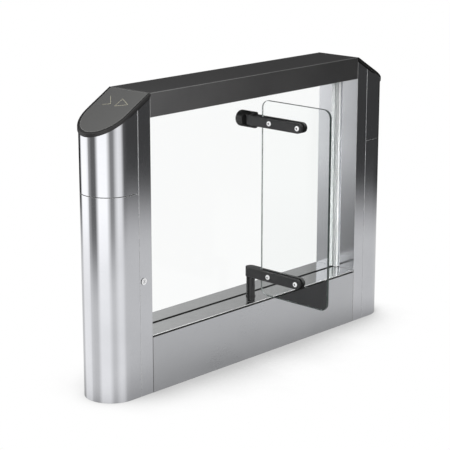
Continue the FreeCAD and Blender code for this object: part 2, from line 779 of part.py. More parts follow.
def hinge_stud():
    """Stud that joins the barrel to its seat."""
    start = f"({BARREL_BACK} - hinge_stud_grip)"
    return rod("hinge_stud", "hinge_stud_diameter", ("pivot_along", start, UPPER_ARM_MIDDLE),
               "hinge_stud_grip + hinge_stud_seat", "Y")


def hinge_bush():
    """Plain bush in the upper arm's root that turns on the pin."""
    low = f"({UPPER_ARM_MIDDLE} - arm_height / 2)"
    high = f"({UPPER_ARM_MIDDLE} + arm_height / 2)"
    inner = "(pin_diameter / 2 + run_gap)"
    outer = "(pin_diameter / 2 + bush_wall)"
    ring = turned("hinge_bush", [(inner, low), (outer, low), (outer, high), (inner, high)])
    return place(ring, "pivot_along", PIVOT_ACROSS)


# Wing
ARM_SCREWS = (("inner", "arm_screw_inner"), ("outer", "(arm_reach - arm_screw_tip_inset)"))
ARM_LEVELS = (("upper", UPPER_ARM_MIDDLE), ("lower", LOWER_ARM_MIDDLE))


def screw_places():
    """Names, distances from the axis and heights of the four arm screws."""
    for level, middle in ARM_LEVELS:
        for label, reach in ARM_SCREWS:
            yield f"{level}_{label}", reach, middle


def leaf():
    """Clear glass wing with round corners and four screw bores."""
    inner = "(-leaf_inner)"
    outer = "(-leaf_inner - leaf_length)"

    def draw(sketch):
        outline(sketch, [(outer, LEAF_BOTTOM), (inner, LEAF_BOTTOM), (inner, LEAF_TOP), (outer, LEAF_TOP)])
        for name, reach, middle in screw_places():
            circle(sketch, "sleeve_bore", f"(-{reach})", middle)

    body = padded("leaf", "YZ_Plane", "leaf_wall", draw)
    blank = body.Tip
    corners = [f"Edge{number}" for number, edge in enumerate(blank.Shape.Edges, start=1)
               if edge.BoundBox.XLength > value("leaf_wall") / 2
               and min(abs(edge.CenterOfMass.y - value(place_across)) for place_across in (inner, outer))
               < value("fit_gap")]
    rounding = body.newObject("PartDesign::Fillet", "leaf_corners")
    rounding.Base = (blank, corners)
    bind(rounding, Radius="leaf_corner")
    return place(body, "(pivot_along - leaf_wall / 2)", PIVOT_ACROSS)


def blade(name, low, high, inner, middle, bore):
    """A flat bar beside the glass with a round end and two screw bores, between two bounds along X."""
    height = centred(middle, "arm_height / 2")
    tip = f"({PIVOT_ACROSS} - arm_reach + arm_height / 2)"
    thick = f"{high} - ({low})"
    bar = box(name + "_bar", (low, high), (tip, f"({PIVOT_ACROSS} - {inner})"), height)
    end = rod(name + "_end", "arm_height", (low, tip, middle), thick, "X")
    bores = [
        rod(f"{name}_{label}_bore", bore, (low, f"({PIVOT_ACROSS} - {reach})", middle), thick, "X")
        for label, reach in ARM_SCREWS
    ]
    return cut(name, fuse(name + "_blank", bar, end), *bores)


def arm(name, middle, bore, bore_start, bore_height):
    """Arm with a round root on the axis, a full neck and a blade on one side of the glass."""
    neck_end = "(leaf_inner - arm_neck_gap)"
    low = f"({middle} - arm_height / 2)"
    root = rod(name + "_root", "arm_wall", ("pivot_along", PIVOT_ACROSS, low), "arm_height")
    neck = box(name + "_neck", centred("pivot_along", ARM_HALF),
               (f"({PIVOT_ACROSS} - {neck_end})", PIVOT_ACROSS), centred(middle, "arm_height / 2"))
    side = blade(name + "_blade", f"(pivot_along - {ARM_HALF})", f"(pivot_along - {GLASS_FACE})", neck_end,
                 middle, "arm_screw_bore + 2 * fit_gap")
    hole = rod(name + "_axis_bore", bore, ("pivot_along", PIVOT_ACROSS, bore_start), bore_height)
    return cut(name, fuse(name + "_solid", root, neck, side), hole)


def upper_arm():
    """Arm that hangs on the hinge pin by its bush."""
    return arm("upper_arm", UPPER_ARM_MIDDLE, "pin_diameter + 2 * bush_wall + 2 * seat_gap",
               f"({UPPER_ARM_MIDDLE} - arm_height / 2)", "arm_height")


def lower_arm():
    """Arm that sits on the leg and is driven by the shaft."""
    return arm("lower_arm", LOWER_ARM_MIDDLE, "shaft_diameter + 2 * seat_gap", LEG_TOP, "shaft_insert")


def arm_cheek(name, middle):
    """Loose blade on the far side of the glass."""
    return blade(name, f"(pivot_along + {GLASS_FACE})", f"(pivot_along + {ARM_HALF})",
                 "(leaf_inner - arm_neck_gap)", middle, "sleeve_bore")


def arm_pads():
    """Soft sheets between the glass and the arms."""
    pieces = []
    near = (f"(pivot_along - {GLASS_FACE})", "(pivot_along - leaf_wall / 2)")
    far = ("(pivot_along + leaf_wall / 2)", f"(pivot_along + {GLASS_FACE})")
    for level, middle in ARM_LEVELS:
        for side, bounds in (("near", near), ("far", far)):
            pieces.append(blade(f"{level}_{side}_pad", *bounds, "leaf_inner", middle, "sleeve_bore"))
    return group("arm_pads", pieces)


def arm_screws():
    """Round-headed socket screws through arm, glass and cheek."""
    pieces = []
    face = f"(pivot_along - {ARM_HALF})"
    top = f"({face} - arm_screw_head_height)"
    for label, reach, middle in screw_places():
        name = f"{label}_arm_screw"
        across = f"({PIVOT_ACROSS} - {reach})"
        shank = rod(name + "_shank", "arm_screw_bore", (face, across, middle), "arm_wall", "X")
        head = rod(name + "_head", "arm_screw_head", (top, across, middle), "arm_screw_head_height", "X")
        socket = doc.addObject("Part::Prism", name + "_socket")
        socket.Polygon = 6
        socket.Placement = FreeCAD.Placement(FreeCAD.Vector(), FreeCAD.Rotation(FreeCAD.Vector(0, 1, 0), 90))
        bind(socket, Circumradius="arm_screw_socket / sqrt(3)", Height="arm_screw_socket_depth")
        place(socket, top, across, middle)
        pieces.append(cut(name, fuse(name + "_solid", shank, head), socket))
    return group("arm_screws", pieces)


def arm_sleeve_nuts():
    """Flanged sleeve nuts that carry the glass on the screws."""
    pieces = []
    start = "(pivot_along - leaf_wall / 2)"
    face = f"(pivot_along + {ARM_HALF})"
    for label, reach, middle in screw_places():
        name = f"{label}_sleeve_nut"
        across = f"({PIVOT_ACROSS} - {reach})"
        at = (start, across, middle)
        sleeve = rod(name + "_sleeve", "sleeve_bore - 2 * fit_gap", at, f"{face} - {start}", "X")
        flange = rod(name + "_flange", "arm_screw_head", (face, across, middle), "arm_screw_head_height", "X")
        bore = rod(name + "_bore", "arm_screw_bore + 2 * seat_gap", at, f"{face} - {start}", "X")
        pieces.append(cut(name, fuse(name + "_solid", sleeve, flange), bore))
    return group("arm_sleeve_nuts", pieces)


def wing_leg():
    """Round sleeve on the shaft between the collar and the lower arm, with a flange at its foot."""
    inner = "(shaft_diameter / 2 + seat_gap)"
    outer = "(shaft_diameter / 2 + leg_wall)"
    flange = f"({outer} + leg_flange_wall)"
    flange_top = f"({LEG_BOTTOM} + leg_flange_height)"
    tube = turned("wing_leg", [(inner, LEG_BOTTOM), (flange, LEG_BOTTOM), (flange, flange_top),
                               (outer, flange_top), (outer, LEG_TOP), (inner, LEG_TOP)])
    return place(tube, "pivot_along", PIVOT_ACROSS)


def key_slot(name):
    """The space that the gear's key fills, half in the shaft and half in the gear."""
    edge = "(pivot_along + shaft_diameter / 2)"
    return box(name, centred(edge, "key_wall / 2"), centred(PIVOT_ACROSS, "key_wall / 2"),
               (GEAR_BOTTOM, f"({GEAR_BOTTOM} + gear_width)"))


def wing_shaft():
    """Drive shaft with a shoulder that stands on the upper bearing and carries the leg."""
    thin = "(shaft_diameter / 2)"
    thick = "(shoulder_diameter / 2)"
    tail = f"({LOWER_BEARING} - shaft_tail)"
    shoulder = f"({UPPER_BEARING} + bearing_width)"
    profile = [("0", tail), (thin, tail), (thin, shoulder), (thick, shoulder), (thick, LEG_BOTTOM),
               (thin, LEG_BOTTOM), (thin, SHAFT_TOP), ("0", SHAFT_TOP)]
    bar = turned("wing_shaft_bar", profile)
    place(bar, "pivot_along", PIVOT_ACROSS)
    return cut("wing_shaft", bar, key_slot("wing_shaft_keyway"))


def pivot_collar():
    """Ring on the sill around the shaft."""
    inner = "(shoulder_diameter / 2 + fit_gap)"
    outer = f"({inner} + collar_wall)"
    ring = turned("pivot_collar", [(inner, "sill_height"), (outer, "sill_height"), (outer, COLLAR_TOP),
                                   (inner, COLLAR_TOP)])
    return place(ring, "pivot_along", PIVOT_ACROSS)


# Drive inside the sill
def gear_disc(teeth, width):
    """A spur gear about the upright axis: involute flanks from root to tip circle, one tooth along +X."""
    module = value("gear_module")
    pitch = module * teeth / 2
    root, tip = pitch - 1.25 * module, pitch + module
    base = pitch * math.cos(math.radians(value("pressure_angle")))
    half_tooth = math.pi / (2 * teeth) - value("gear_backlash") / (2 * pitch)

    def roll(radius):
        angle = math.acos(min(1.0, base / radius))
        return math.tan(angle) - angle

    def point(radius, turn):
        return FreeCAD.Vector(radius * math.cos(turn), radius * math.sin(turn), 0)

    flank_start = max(root, base)
    radii = [flank_start + (tip - flank_start) * step / 6 for step in range(7)]
    spread = [half_tooth + roll(pitch) - roll(radius) for radius in radii]
    edges = []
    for tooth in range(teeth):
        middle = 2 * math.pi * tooth / teeth
        rising = [point(radius, middle - turn) for radius, turn in zip(radii, spread)]
        falling = [point(radius, middle + turn) for radius, turn in zip(radii, spread)][::-1]
        foot_in, foot_out = point(root, middle - spread[0]), point(root, middle + spread[0])
        following = point(root, middle + 2 * math.pi / teeth - spread[0])
        valley = point(root, middle + math.pi / teeth)
        if base > root:
            edges.append(Part.LineSegment(foot_in, rising[0]).toShape())
        for flank in (rising, falling):
            curve = Part.BSplineCurve()
            curve.interpolate(flank)
            edges.append(curve.toShape())
            if flank is rising:
                edges.append(Part.Arc(rising[-1], point(tip, middle), falling[0]).toShape())
        if base > root:
            edges.append(Part.LineSegment(falling[-1], foot_out).toShape())
        edges.append(Part.Arc(foot_out, valley, following).toShape())
    return Part.Face(Part.Wire(edges)).extrude(FreeCAD.Vector(0, 0, width))


def gear_blank(name, teeth, turn, x, y):
    """A toothed disc in the document at the gear's height."""
    blank = doc.addObject("Part::Feature", name)
    blank.Shape = gear_disc(int(value(teeth)), value("gear_width"))
    blank.Placement = FreeCAD.Placement(FreeCAD.Vector(), FreeCAD.Rotation(FreeCAD.Vector(0, 0, 1), turn))
    return place(blank, x, y, GEAR_BOTTOM)


def wing_gear():
    """Gear on the wing shaft with a hub down to the lower bearing."""
    hub_low = f"({LOWER_BEARING} + bearing_width + fit_gap)"
    at = ("pivot_along", PIVOT_ACROSS, hub_low)
    teeth = gear_blank("wing_gear_teeth", "gear_teeth", 0, "pivot_along", PIVOT_ACROSS)
    hub = rod("wing_gear_hub", "gear_hub_diameter", at, f"{GEAR_BOTTOM} - {hub_low}")
    bore = rod("wing_gear_bore", "shaft_diameter + 2 * seat_gap", at,
               f"{GEAR_BOTTOM} + gear_width - {hub_low}")
    return cut("wing_gear", fuse("wing_gear_solid", teeth, hub), bore, key_slot("wing_gear_keyway"))


def motor_pinion():
    """Pinion turned half a tooth so that it meshes, on a stub that reaches into the gearmotor."""
    half_tooth = 180 / value("pinion_teeth")
    teeth = gear_blank("motor_pinion_teeth", "pinion_teeth", half_tooth, "pivot_along", PINION_ACROSS)
    stub_low = f"({GEAR_BOTTOM} + gear_width)"
    stub = rod("motor_pinion_stub", "motor_shaft_diameter", ("pivot_along", PINION_ACROSS, stub_low),
               f"{MOTOR_BOTTOM} + motor_shaft_reach - {stub_low}")
    return fuse("motor_pinion", teeth, stub)


def gearmotor():
    """Upright gearmotor with a brake on top and a bore for the pinion's stub."""
    at = ("pivot_along", PINION_ACROSS, MOTOR_BOTTOM)
    can = rod("gearmotor_can", "motor_diameter", at, f"{BRAKE_BOTTOM} - {MOTOR_BOTTOM}")
    brake = rod("gearmotor_brake", "brake_diameter", ("pivot_along", PINION_ACROSS, BRAKE_BOTTOM),
                "brake_height")
    bore = rod("gearmotor_bore", "motor_shaft_diameter + 2 * run_gap", at, "motor_shaft_reach + fit_gap")
    return cut("gearmotor", fuse("gearmotor_solid", can, brake), bore)


def drive_housing():
    """Frame on the tray with two bearing plates, a motor plate and side walls."""
    name = "drive_housing"
    front = f"(-{SKIN_INSIDE} + housing_front_gap)"
    wall_front = f"(-{SKIN_INSIDE} + sheet_wall + housing_front_gap)"
    back = f"(pane_offset - {CHANNEL_HALF} - housing_back_gap)"
    along = centred("pivot_along", "housing_half_width")
    pieces = [
        box(f"{name}_lower_plate", along, (front, back), (LOWER_PLATE, LOWER_PLATE_TOP)),
        box(f"{name}_upper_plate", along, (front, back), (UPPER_PLATE, UPPER_PLATE_TOP)),
        box(f"{name}_motor_plate", along, (front, back), (MOTOR_PLATE, MOTOR_BOTTOM)),
    ]
    inner = "(housing_half_width - housing_wall)"
    outer = "(housing_half_width + housing_foot)"
    for side, low, high, foot_low, foot_high in (
        ("left", "(pivot_along - housing_half_width)", f"(pivot_along - {inner})",
         f"(pivot_along - {outer})", f"(pivot_along - {inner})"),
        ("right", f"(pivot_along + {inner})", "(pivot_along + housing_half_width)",
         f"(pivot_along + {inner})", f"(pivot_along + {outer})"),
    ):
        pieces.append(box(f"{name}_{side}_wall", (low, high), (wall_front, back),
                          ("tray_wall", UPPER_PLATE_TOP)))
        pieces.append(box(f"{name}_{side}_foot", (foot_low, foot_high), (wall_front, back),
                          ("tray_wall", "(tray_wall + housing_wall)")))
    axis = ("pivot_along", PIVOT_ACROSS)
    bores = [
        rod(f"{name}_lower_seat", f"{BEARING_OUTER} + 2 * seat_gap", (*axis, LOWER_BEARING), "bearing_width"),
        rod(f"{name}_upper_seat", f"{BEARING_OUTER} + 2 * seat_gap", (*axis, UPPER_BEARING), "bearing_width"),
        rod(f"{name}_shaft_bore", "shoulder_diameter", (*axis, LOWER_PLATE),
            f"{UPPER_PLATE_TOP} - {LOWER_PLATE}"),
        rod(f"{name}_pinion_bore", "2 * motor_shaft_diameter",
            ("pivot_along", PINION_ACROSS, MOTOR_PLATE), "housing_wall"),
    ]
    return cut(name, fuse(f"{name}_solid", *pieces), *bores)


def shaft_bearings():
    """The two bearings of the wing shaft."""
    pieces = []
    for label, low in (("lower", LOWER_BEARING), ("upper", UPPER_BEARING)):
        name = f"{label}_bearing"
        at = ("pivot_along", PIVOT_ACROSS, low)
        ring = rod(name + "_ring", BEARING_OUTER, at, "bearing_width")
        bore = rod(name + "_bore", "shaft_diameter + 2 * run_gap", at, "bearing_width")
        pieces.append(cut(name, ring, bore))
    return group("shaft_bearings", pieces)


# Cover lock on the near post
LOCK_FRONT = f"(-{HALF_WIDTH} - lock_face_wall)"
LOCK_BACK = f"(-{HALF_WIDTH} + lock_reach)"
CAM_FRONT = f"(-{HALF_WIDTH} + lock_reach + fit_gap)"
CAM_BACK = f"(-{HALF_WIDTH} + lock_reach + fit_gap + cam_wall)"


def lock_housing():
    """Round lock body through the side strip, with a flange outside."""
    front = (LOCK_ALONG, LOCK_FRONT, "lock_height")
    strip = (LOCK_ALONG, f"(-{HALF_WIDTH})", "lock_height")
    flange = rod("lock_housing_flange", "lock_face", front, "lock_face_wall", "Y")
    barrel = rod("lock_housing_barrel", "lock_body", strip, "lock_reach", "Y")
    bore = rod("lock_housing_bore", "plug_diameter + 2 * run_gap", front, f"{LOCK_BACK} - {LOCK_FRONT}", "Y")
    return cut("lock_housing", fuse("lock_housing_solid", flange, barrel), bore)


def lock_plug():
    """Turning core with a key slot outside and a tail that carries the cam."""
    core = rod("lock_plug_core", "plug_diameter", (LOCK_ALONG, LOCK_FRONT, "lock_height"),
               f"{LOCK_BACK} - {LOCK_FRONT}", "Y")
    tail = rod("lock_plug_tail_bar", "plug_tail", (LOCK_ALONG, LOCK_BACK, "lock_height"),
               f"{CAM_BACK} - {LOCK_BACK}", "Y")
    slot = box("lock_plug_slot", centred(LOCK_ALONG, "key_slot_width / 2"),
               (LOCK_FRONT, f"({LOCK_FRONT} + key_slot_depth)"),
               centred("lock_height", "key_slot_length / 2"))
    return cut("lock_plug", fuse("lock_plug_solid", core, tail), slot)


def lock_cam():
    """Flat cam that points up when locked."""
    at = (LOCK_ALONG, CAM_FRONT, "lock_height")
    eye = rod("lock_cam_eye", "cam_width", at, "cam_wall", "Y")
    tongue = box("lock_cam_tongue", centred(LOCK_ALONG, "cam_width / 2"), (CAM_FRONT, CAM_BACK),
                 ("lock_height", "(lock_height + cam_length)"))
    bore = rod("lock_cam_bore", "plug_tail + 2 * seat_gap", at, "cam_wall", "Y")
    return cut("lock_cam", fuse("lock_cam_solid", eye, tongue), bore)


def lock_keeper():
    """Hook on the inside of the near lower cover that the cam holds back."""
    tongue_end = f"(-{STRIP_END} - tongue_reach - keeper_gap)"
    foot_end = f"({tongue_end} - keeper_foot)"
    rise = ("(lock_height + keeper_rise)", "(lock_height + keeper_rise + keeper_height)")
    strip_back = f"(-{SKIN_INSIDE} + sheet_wall)"
    arm_back = f"({strip_back} + keeper_wall)"
    foot = box("lock_keeper_foot", (foot_end, tongue_end), (f"(-{SKIN_INSIDE})", arm_back), rise)
    bar = box("lock_keeper_bar", (foot_end, f"({KEEPER_EDGE} + keeper_wall)"), (strip_back, arm_back), rise)
    lip = box("lock_keeper_lip", (KEEPER_EDGE, f"({KEEPER_EDGE} + keeper_wall)"),
              (strip_back, f"({CAM_BACK} + keeper_gap)"), rise)
    return fuse("lock_keeper", foot, bar, lip)


def locked_upright(plain):
    """Left upright with the bore for the lock body."""
    bore = rod("left_upright_lock_bore", "lock_body + 2 * seat_gap",
               (LOCK_ALONG, f"(-{HALF_WIDTH})", "lock_height"), "2 * sheet_wall", "Y")
    return cut("left_upright", mirrored("left_upright_blank", plain), bore)


# Electronics inside the sill
def power_supply():
    """Closed box on the tray, left of the drive."""
    return box("power_supply", (f"(-{SUPPLY_END})", f"(pivot_along - {DRIVE_HALF})"),
               ("-supply_width / 2", "supply_width / 2"),
               ("tray_wall", "(tray_wall + supply_height)"))


def control_board():
    """Circuit board on standoffs, right of the drive."""
    low = "(tray_wall + standoff_height)"
    return box("control_board", (CONTROL_START, CONTROL_END),
               ("-control_width / 2", "control_width / 2"), (low, f"({low} + board_wall)"))


def board_standoffs():
    """Posts under the corners of the control board."""
    pieces = []
    for end, along in (("left", f"({CONTROL_START} + standoff_inset)"),
                       ("right", f"({CONTROL_END} - standoff_inset)")):
        for side, sign in SIDES:
            across = f"({sign} * (control_width / 2 - standoff_inset))"
            pieces.append(rod(f"{end}_{side}_standoff", "standoff_diameter", (along, across, "tray_wall"),
                              "standoff_height"))
    return group("board_standoffs", pieces)


def build():
    """Every sub-part of the gate, in the order it would be put together."""
    room = post_room()
    right_side = [base_plate(), frame_post(), upright(room), lower_cover(), upper_cover(room), cap_housing(),
                  cap_fascia()]
    left_side = []
    for piece in right_side:
        left_name = piece.Name.replace("right_", "left_")
        left_side.append(locked_upright(piece) if left_name == "left_upright" else mirrored(left_name, piece))
    board = indicator_board()
    boards = group("indicator_boards", [board, mirrored("left_indicator_board", board)])
    sill = [sill_tray(), panel_strips(), *side_panels(), *sill_tops(), sill_ribs()]
    pane = [pane_channel(), fixed_pane(), pane_bottom_gasket(), pane_top_gasket(), pane_side_seals()]
    hinge = [hinge_body(), hinge_pin(), hinge_pad(), hinge_seat(), hinge_stud(), hinge_bush()]
    cheeks = [arm_cheek(f"{level}_arm_cheek", middle) for level, middle in ARM_LEVELS]
    wing = [leaf(), upper_arm(), lower_arm(), *cheeks, arm_pads(), arm_screws(), arm_sleeve_nuts(),
            wing_leg(), wing_shaft(), pivot_collar()]
    drive = [wing_gear(), key_slot("gear_key"), motor_pinion(), gearmotor(), drive_housing(),
             shaft_bearings()]
    lock = [lock_housing(), lock_plug(), lock_cam(), lock_keeper()]
    electronics = [power_supply(), control_board(), board_standoffs()]
    rail = [top_rail(), rail_brackets(), rail_screws()]
    return [*right_side, *left_side, boards, *rail, *sill, *pane, *hinge, *wing, *drive, *lock, *electronics]


def write(pieces):
    """Check the finished document and write one file for each sub-part."""
    doc.recompute()
    failed = [item.Name for item in doc.Objects if {"Invalid", "Error"} & set(item.State)]
    if failed:
        raise RuntimeError(f"failed objects: {failed}")
    for piece in pieces:
        piece.Label = piece.Name
        if piece.Shape.isNull() or not piece.Shape.isValid() or not piece.Shape.Solids:
            raise RuntimeError(f"bad shape: {piece.Name}")
    os.makedirs("parts", exist_ok=True)
    for piece in pieces:
        piece.Shape.exportStep(f"parts/{piece.Label}.step")
    print(f"{len(pieces)} sub-parts written")


write(build())
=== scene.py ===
import json
import math

import bmesh
import bpy
from mathutils import Matrix, Vector


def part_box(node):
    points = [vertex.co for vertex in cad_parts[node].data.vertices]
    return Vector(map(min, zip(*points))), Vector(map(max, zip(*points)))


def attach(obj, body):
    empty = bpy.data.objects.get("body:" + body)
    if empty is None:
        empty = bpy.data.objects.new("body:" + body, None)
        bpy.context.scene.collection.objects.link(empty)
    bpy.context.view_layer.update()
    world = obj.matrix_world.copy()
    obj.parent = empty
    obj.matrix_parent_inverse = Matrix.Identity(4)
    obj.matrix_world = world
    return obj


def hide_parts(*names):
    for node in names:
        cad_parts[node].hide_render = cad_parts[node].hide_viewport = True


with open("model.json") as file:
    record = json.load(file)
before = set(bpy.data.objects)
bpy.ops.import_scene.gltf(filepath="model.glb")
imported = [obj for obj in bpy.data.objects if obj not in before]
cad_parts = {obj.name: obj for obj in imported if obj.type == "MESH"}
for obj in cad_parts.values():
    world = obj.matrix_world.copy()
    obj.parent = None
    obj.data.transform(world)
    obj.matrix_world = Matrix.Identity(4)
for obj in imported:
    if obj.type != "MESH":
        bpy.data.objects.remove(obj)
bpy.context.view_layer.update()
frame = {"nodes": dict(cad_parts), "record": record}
nodes = frame["nodes"]
NODE_SLOT = {row["node"]: row["material_slot"] for row in frame["record"]["subparts"]}
NODE_BODY = {node: body for body, group in frame["record"]["behaviour"]["bodies"].items() for node in group}

# Lengths are in metres
MM = 0.001
MICRON = 0.000001


# Camera, fitted to the photograph's frame, with its field and focal length in millimetres
FIELD_SIDE = 36.0
FOCAL_LENGTH = 124.34
AZIMUTH = math.radians(-46.50)
ELEVATION = math.radians(14.65)
CAMERA_DISTANCE = 5.43231
CAMERA_OFFSET = (-0.05588, -0.04189)
AIM_HEIGHT = 0.5
VIEW_REACH = 100


def camera():
    """A long lens that looks down a little at the near end and the wing's side."""
    back = Vector((math.sin(AZIMUTH) * math.cos(ELEVATION), -math.cos(AZIMUTH) * math.cos(ELEVATION),
                   math.sin(ELEVATION)))
    right = Vector((math.cos(AZIMUTH), math.sin(AZIMUTH), 0))
    up = back.cross(right)
    lens = bpy.data.cameras.new("camera")
    lens.sensor_width = FIELD_SIDE
    lens.lens = FOCAL_LENGTH
    lens.clip_end = VIEW_REACH
    made = bpy.data.objects.new("camera", lens)
    made.location = (Vector((0, 0, AIM_HEIGHT)) + CAMERA_OFFSET[0] * right + CAMERA_OFFSET[1] * up
                     + CAMERA_DISTANCE * back)
    made.rotation_mode = "QUATERNION"
    made.rotation_quaternion = (-back).to_track_quat("-Z", "Y")
    bpy.context.scene.collection.objects.link(made)
    bpy.context.scene.camera = made


# Shader building blocks
def add(tree, kind, settings=None, **inputs):
    """A shader node with its settings and its inputs, each named or, as i0 or i1, by its place."""
    node = tree.nodes.new("ShaderNode" + kind)
    for name, value in (settings or {}).items():
        setattr(node, name, value)
    for name, value in inputs.items():
        socket = node.inputs[int(name[1:])] if name[1:].isdigit() else node.inputs[name.replace("_", " ")]
        if isinstance(value, bpy.types.NodeSocket):
            tree.links.new(value, socket)
        else:
            socket.default_value = value
    return node


def math_node(tree, operation, first, second=0.0):
    """The result of one sum on two numbers."""
    return add(tree, "Math", {"operation": operation}, i0=first, i1=second).outputs[0]


def spread(tree, value, low, high, out_low, out_high, smooth=False):
    """The value's range low to high stretched to another range."""
    kind = "SMOOTHSTEP" if smooth else "LINEAR"
    node = add(tree, "MapRange", {"interpolation_type": kind, "clamp": True}, Value=value)
    for name, number in (("From Min", low), ("From Max", high), ("To Min", out_low), ("To Max", out_high)):
        node.inputs[name].default_value = number
    return node.outputs[0]


def blend(tree, factor, first, second):
    """A number between two numbers."""
    return add(tree, "Mix", Factor=factor, A=first, B=second).outputs[0]


def between(tree, factor, first, second):
    """A colour between two colours."""
    node = add(tree, "Mix", {"data_type": "RGBA"})
    tree.links.new(factor, node.inputs["Factor"])
    node.inputs["A"].default_value = (*first, 1)
    node.inputs["B"].default_value = (*second, 1)
    return node.outputs["Result"]


def noise(tree, per_metre, stretch=(1, 1, 1), detail=3.0, rough=0.5):
    """Noise in the piece's own metres, finer along the axes with a large stretch."""
    place = add(tree, "TexCoord").outputs["Object"]
    scaled = add(tree, "Mapping", Vector=place)
    scaled.inputs["Scale"].default_value = stretch
    node = add(tree, "TexNoise", Vector=scaled.outputs[0], Scale=per_metre, Detail=detail, Roughness=rough)
    return node.outputs["Fac"]


# Opaque surfaces
QUARTER_TURN = 0.25
DRIFT_DETAIL = 4.0
GRAIN_DETAIL = 2.0
DRIFT_SHARE = 0.6
GRAIN_SHARE = 0.4
NOISE_SPAN = (0.3, 0.7)


def finish(name, colours, roughness, metallic=0.0, mottle=6.0, grain=900.0, stretch=(1, 1, 1), depth=0.0,
           specular=0.5, brushed=0.0):
    """A surface whose colour drifts between two colours, with grain in its gloss and its relief."""
    made = bpy.data.materials.new(name)
    made.use_nodes = True
    tree = made.node_tree
    shader = tree.nodes["Principled BSDF"]
    shader.inputs["Metallic"].default_value = metallic
    shader.inputs["Specular IOR Level"].default_value = specular
    shader.inputs["Anisotropic"].default_value = brushed
    shader.inputs["Anisotropic Rotation"].default_value = QUARTER_TURN if brushed else 0.0
    drift = noise(tree, mottle, detail=DRIFT_DETAIL)
    fibre = noise(tree, grain, stretch, detail=GRAIN_DETAIL)
    drift_part = math_node(tree, "MULTIPLY", drift, DRIFT_SHARE)
    grain_part = math_node(tree, "MULTIPLY", fibre, GRAIN_SHARE)
    mixed = math_node(tree, "ADD", drift_part, grain_part)
    even = spread(tree, mixed, *NOISE_SPAN, 0.0, 1.0)
    tree.links.new(between(tree, even, *colours), shader.inputs["Base Color"])
    tree.links.new(spread(tree, mixed, *NOISE_SPAN, *roughness), shader.inputs["Roughness"])
    if depth:
        relief = add(tree, "Bump", Height=fibre, Distance=depth, Strength=1.0)
        tree.links.new(relief.outputs[0], shader.inputs["Normal"])
    return made


# Clear surfaces
GLASS_IOR = 1.25
WIPES_PER_METRE = 14.0
WIPE_STRETCH = (1, 1, 0.3)
WIPE_SPAN = (0.45, 0.75)


def glass(name, tint, roughness, shade):
    """Clear glass that lets lamp light through, with faint wipe marks in its gloss."""
    made = bpy.data.materials.new(name)
    made.use_nodes = True
    tree = made.node_tree
    shader = tree.nodes["Principled BSDF"]
    shader.inputs["Base Color"].default_value = (*tint, 1)
    shader.inputs["Transmission Weight"].default_value = 1.0
    shader.inputs["IOR"].default_value = GLASS_IOR
    marks = spread(tree, noise(tree, WIPES_PER_METRE, WIPE_STRETCH), *WIPE_SPAN, *roughness)
    tree.links.new(marks, shader.inputs["Roughness"])
    clear = add(tree, "BsdfTransparent", Color=(*shade, 1))
    lamp_ray = add(tree, "LightPath").outputs["Is Shadow Ray"]
    mix = add(tree, "MixShader", i0=lamp_ray, i1=shader.outputs[0], i2=clear.outputs[0])
    tree.links.new(mix.outputs[0], tree.nodes["Material Output"].inputs["Surface"])
    return made


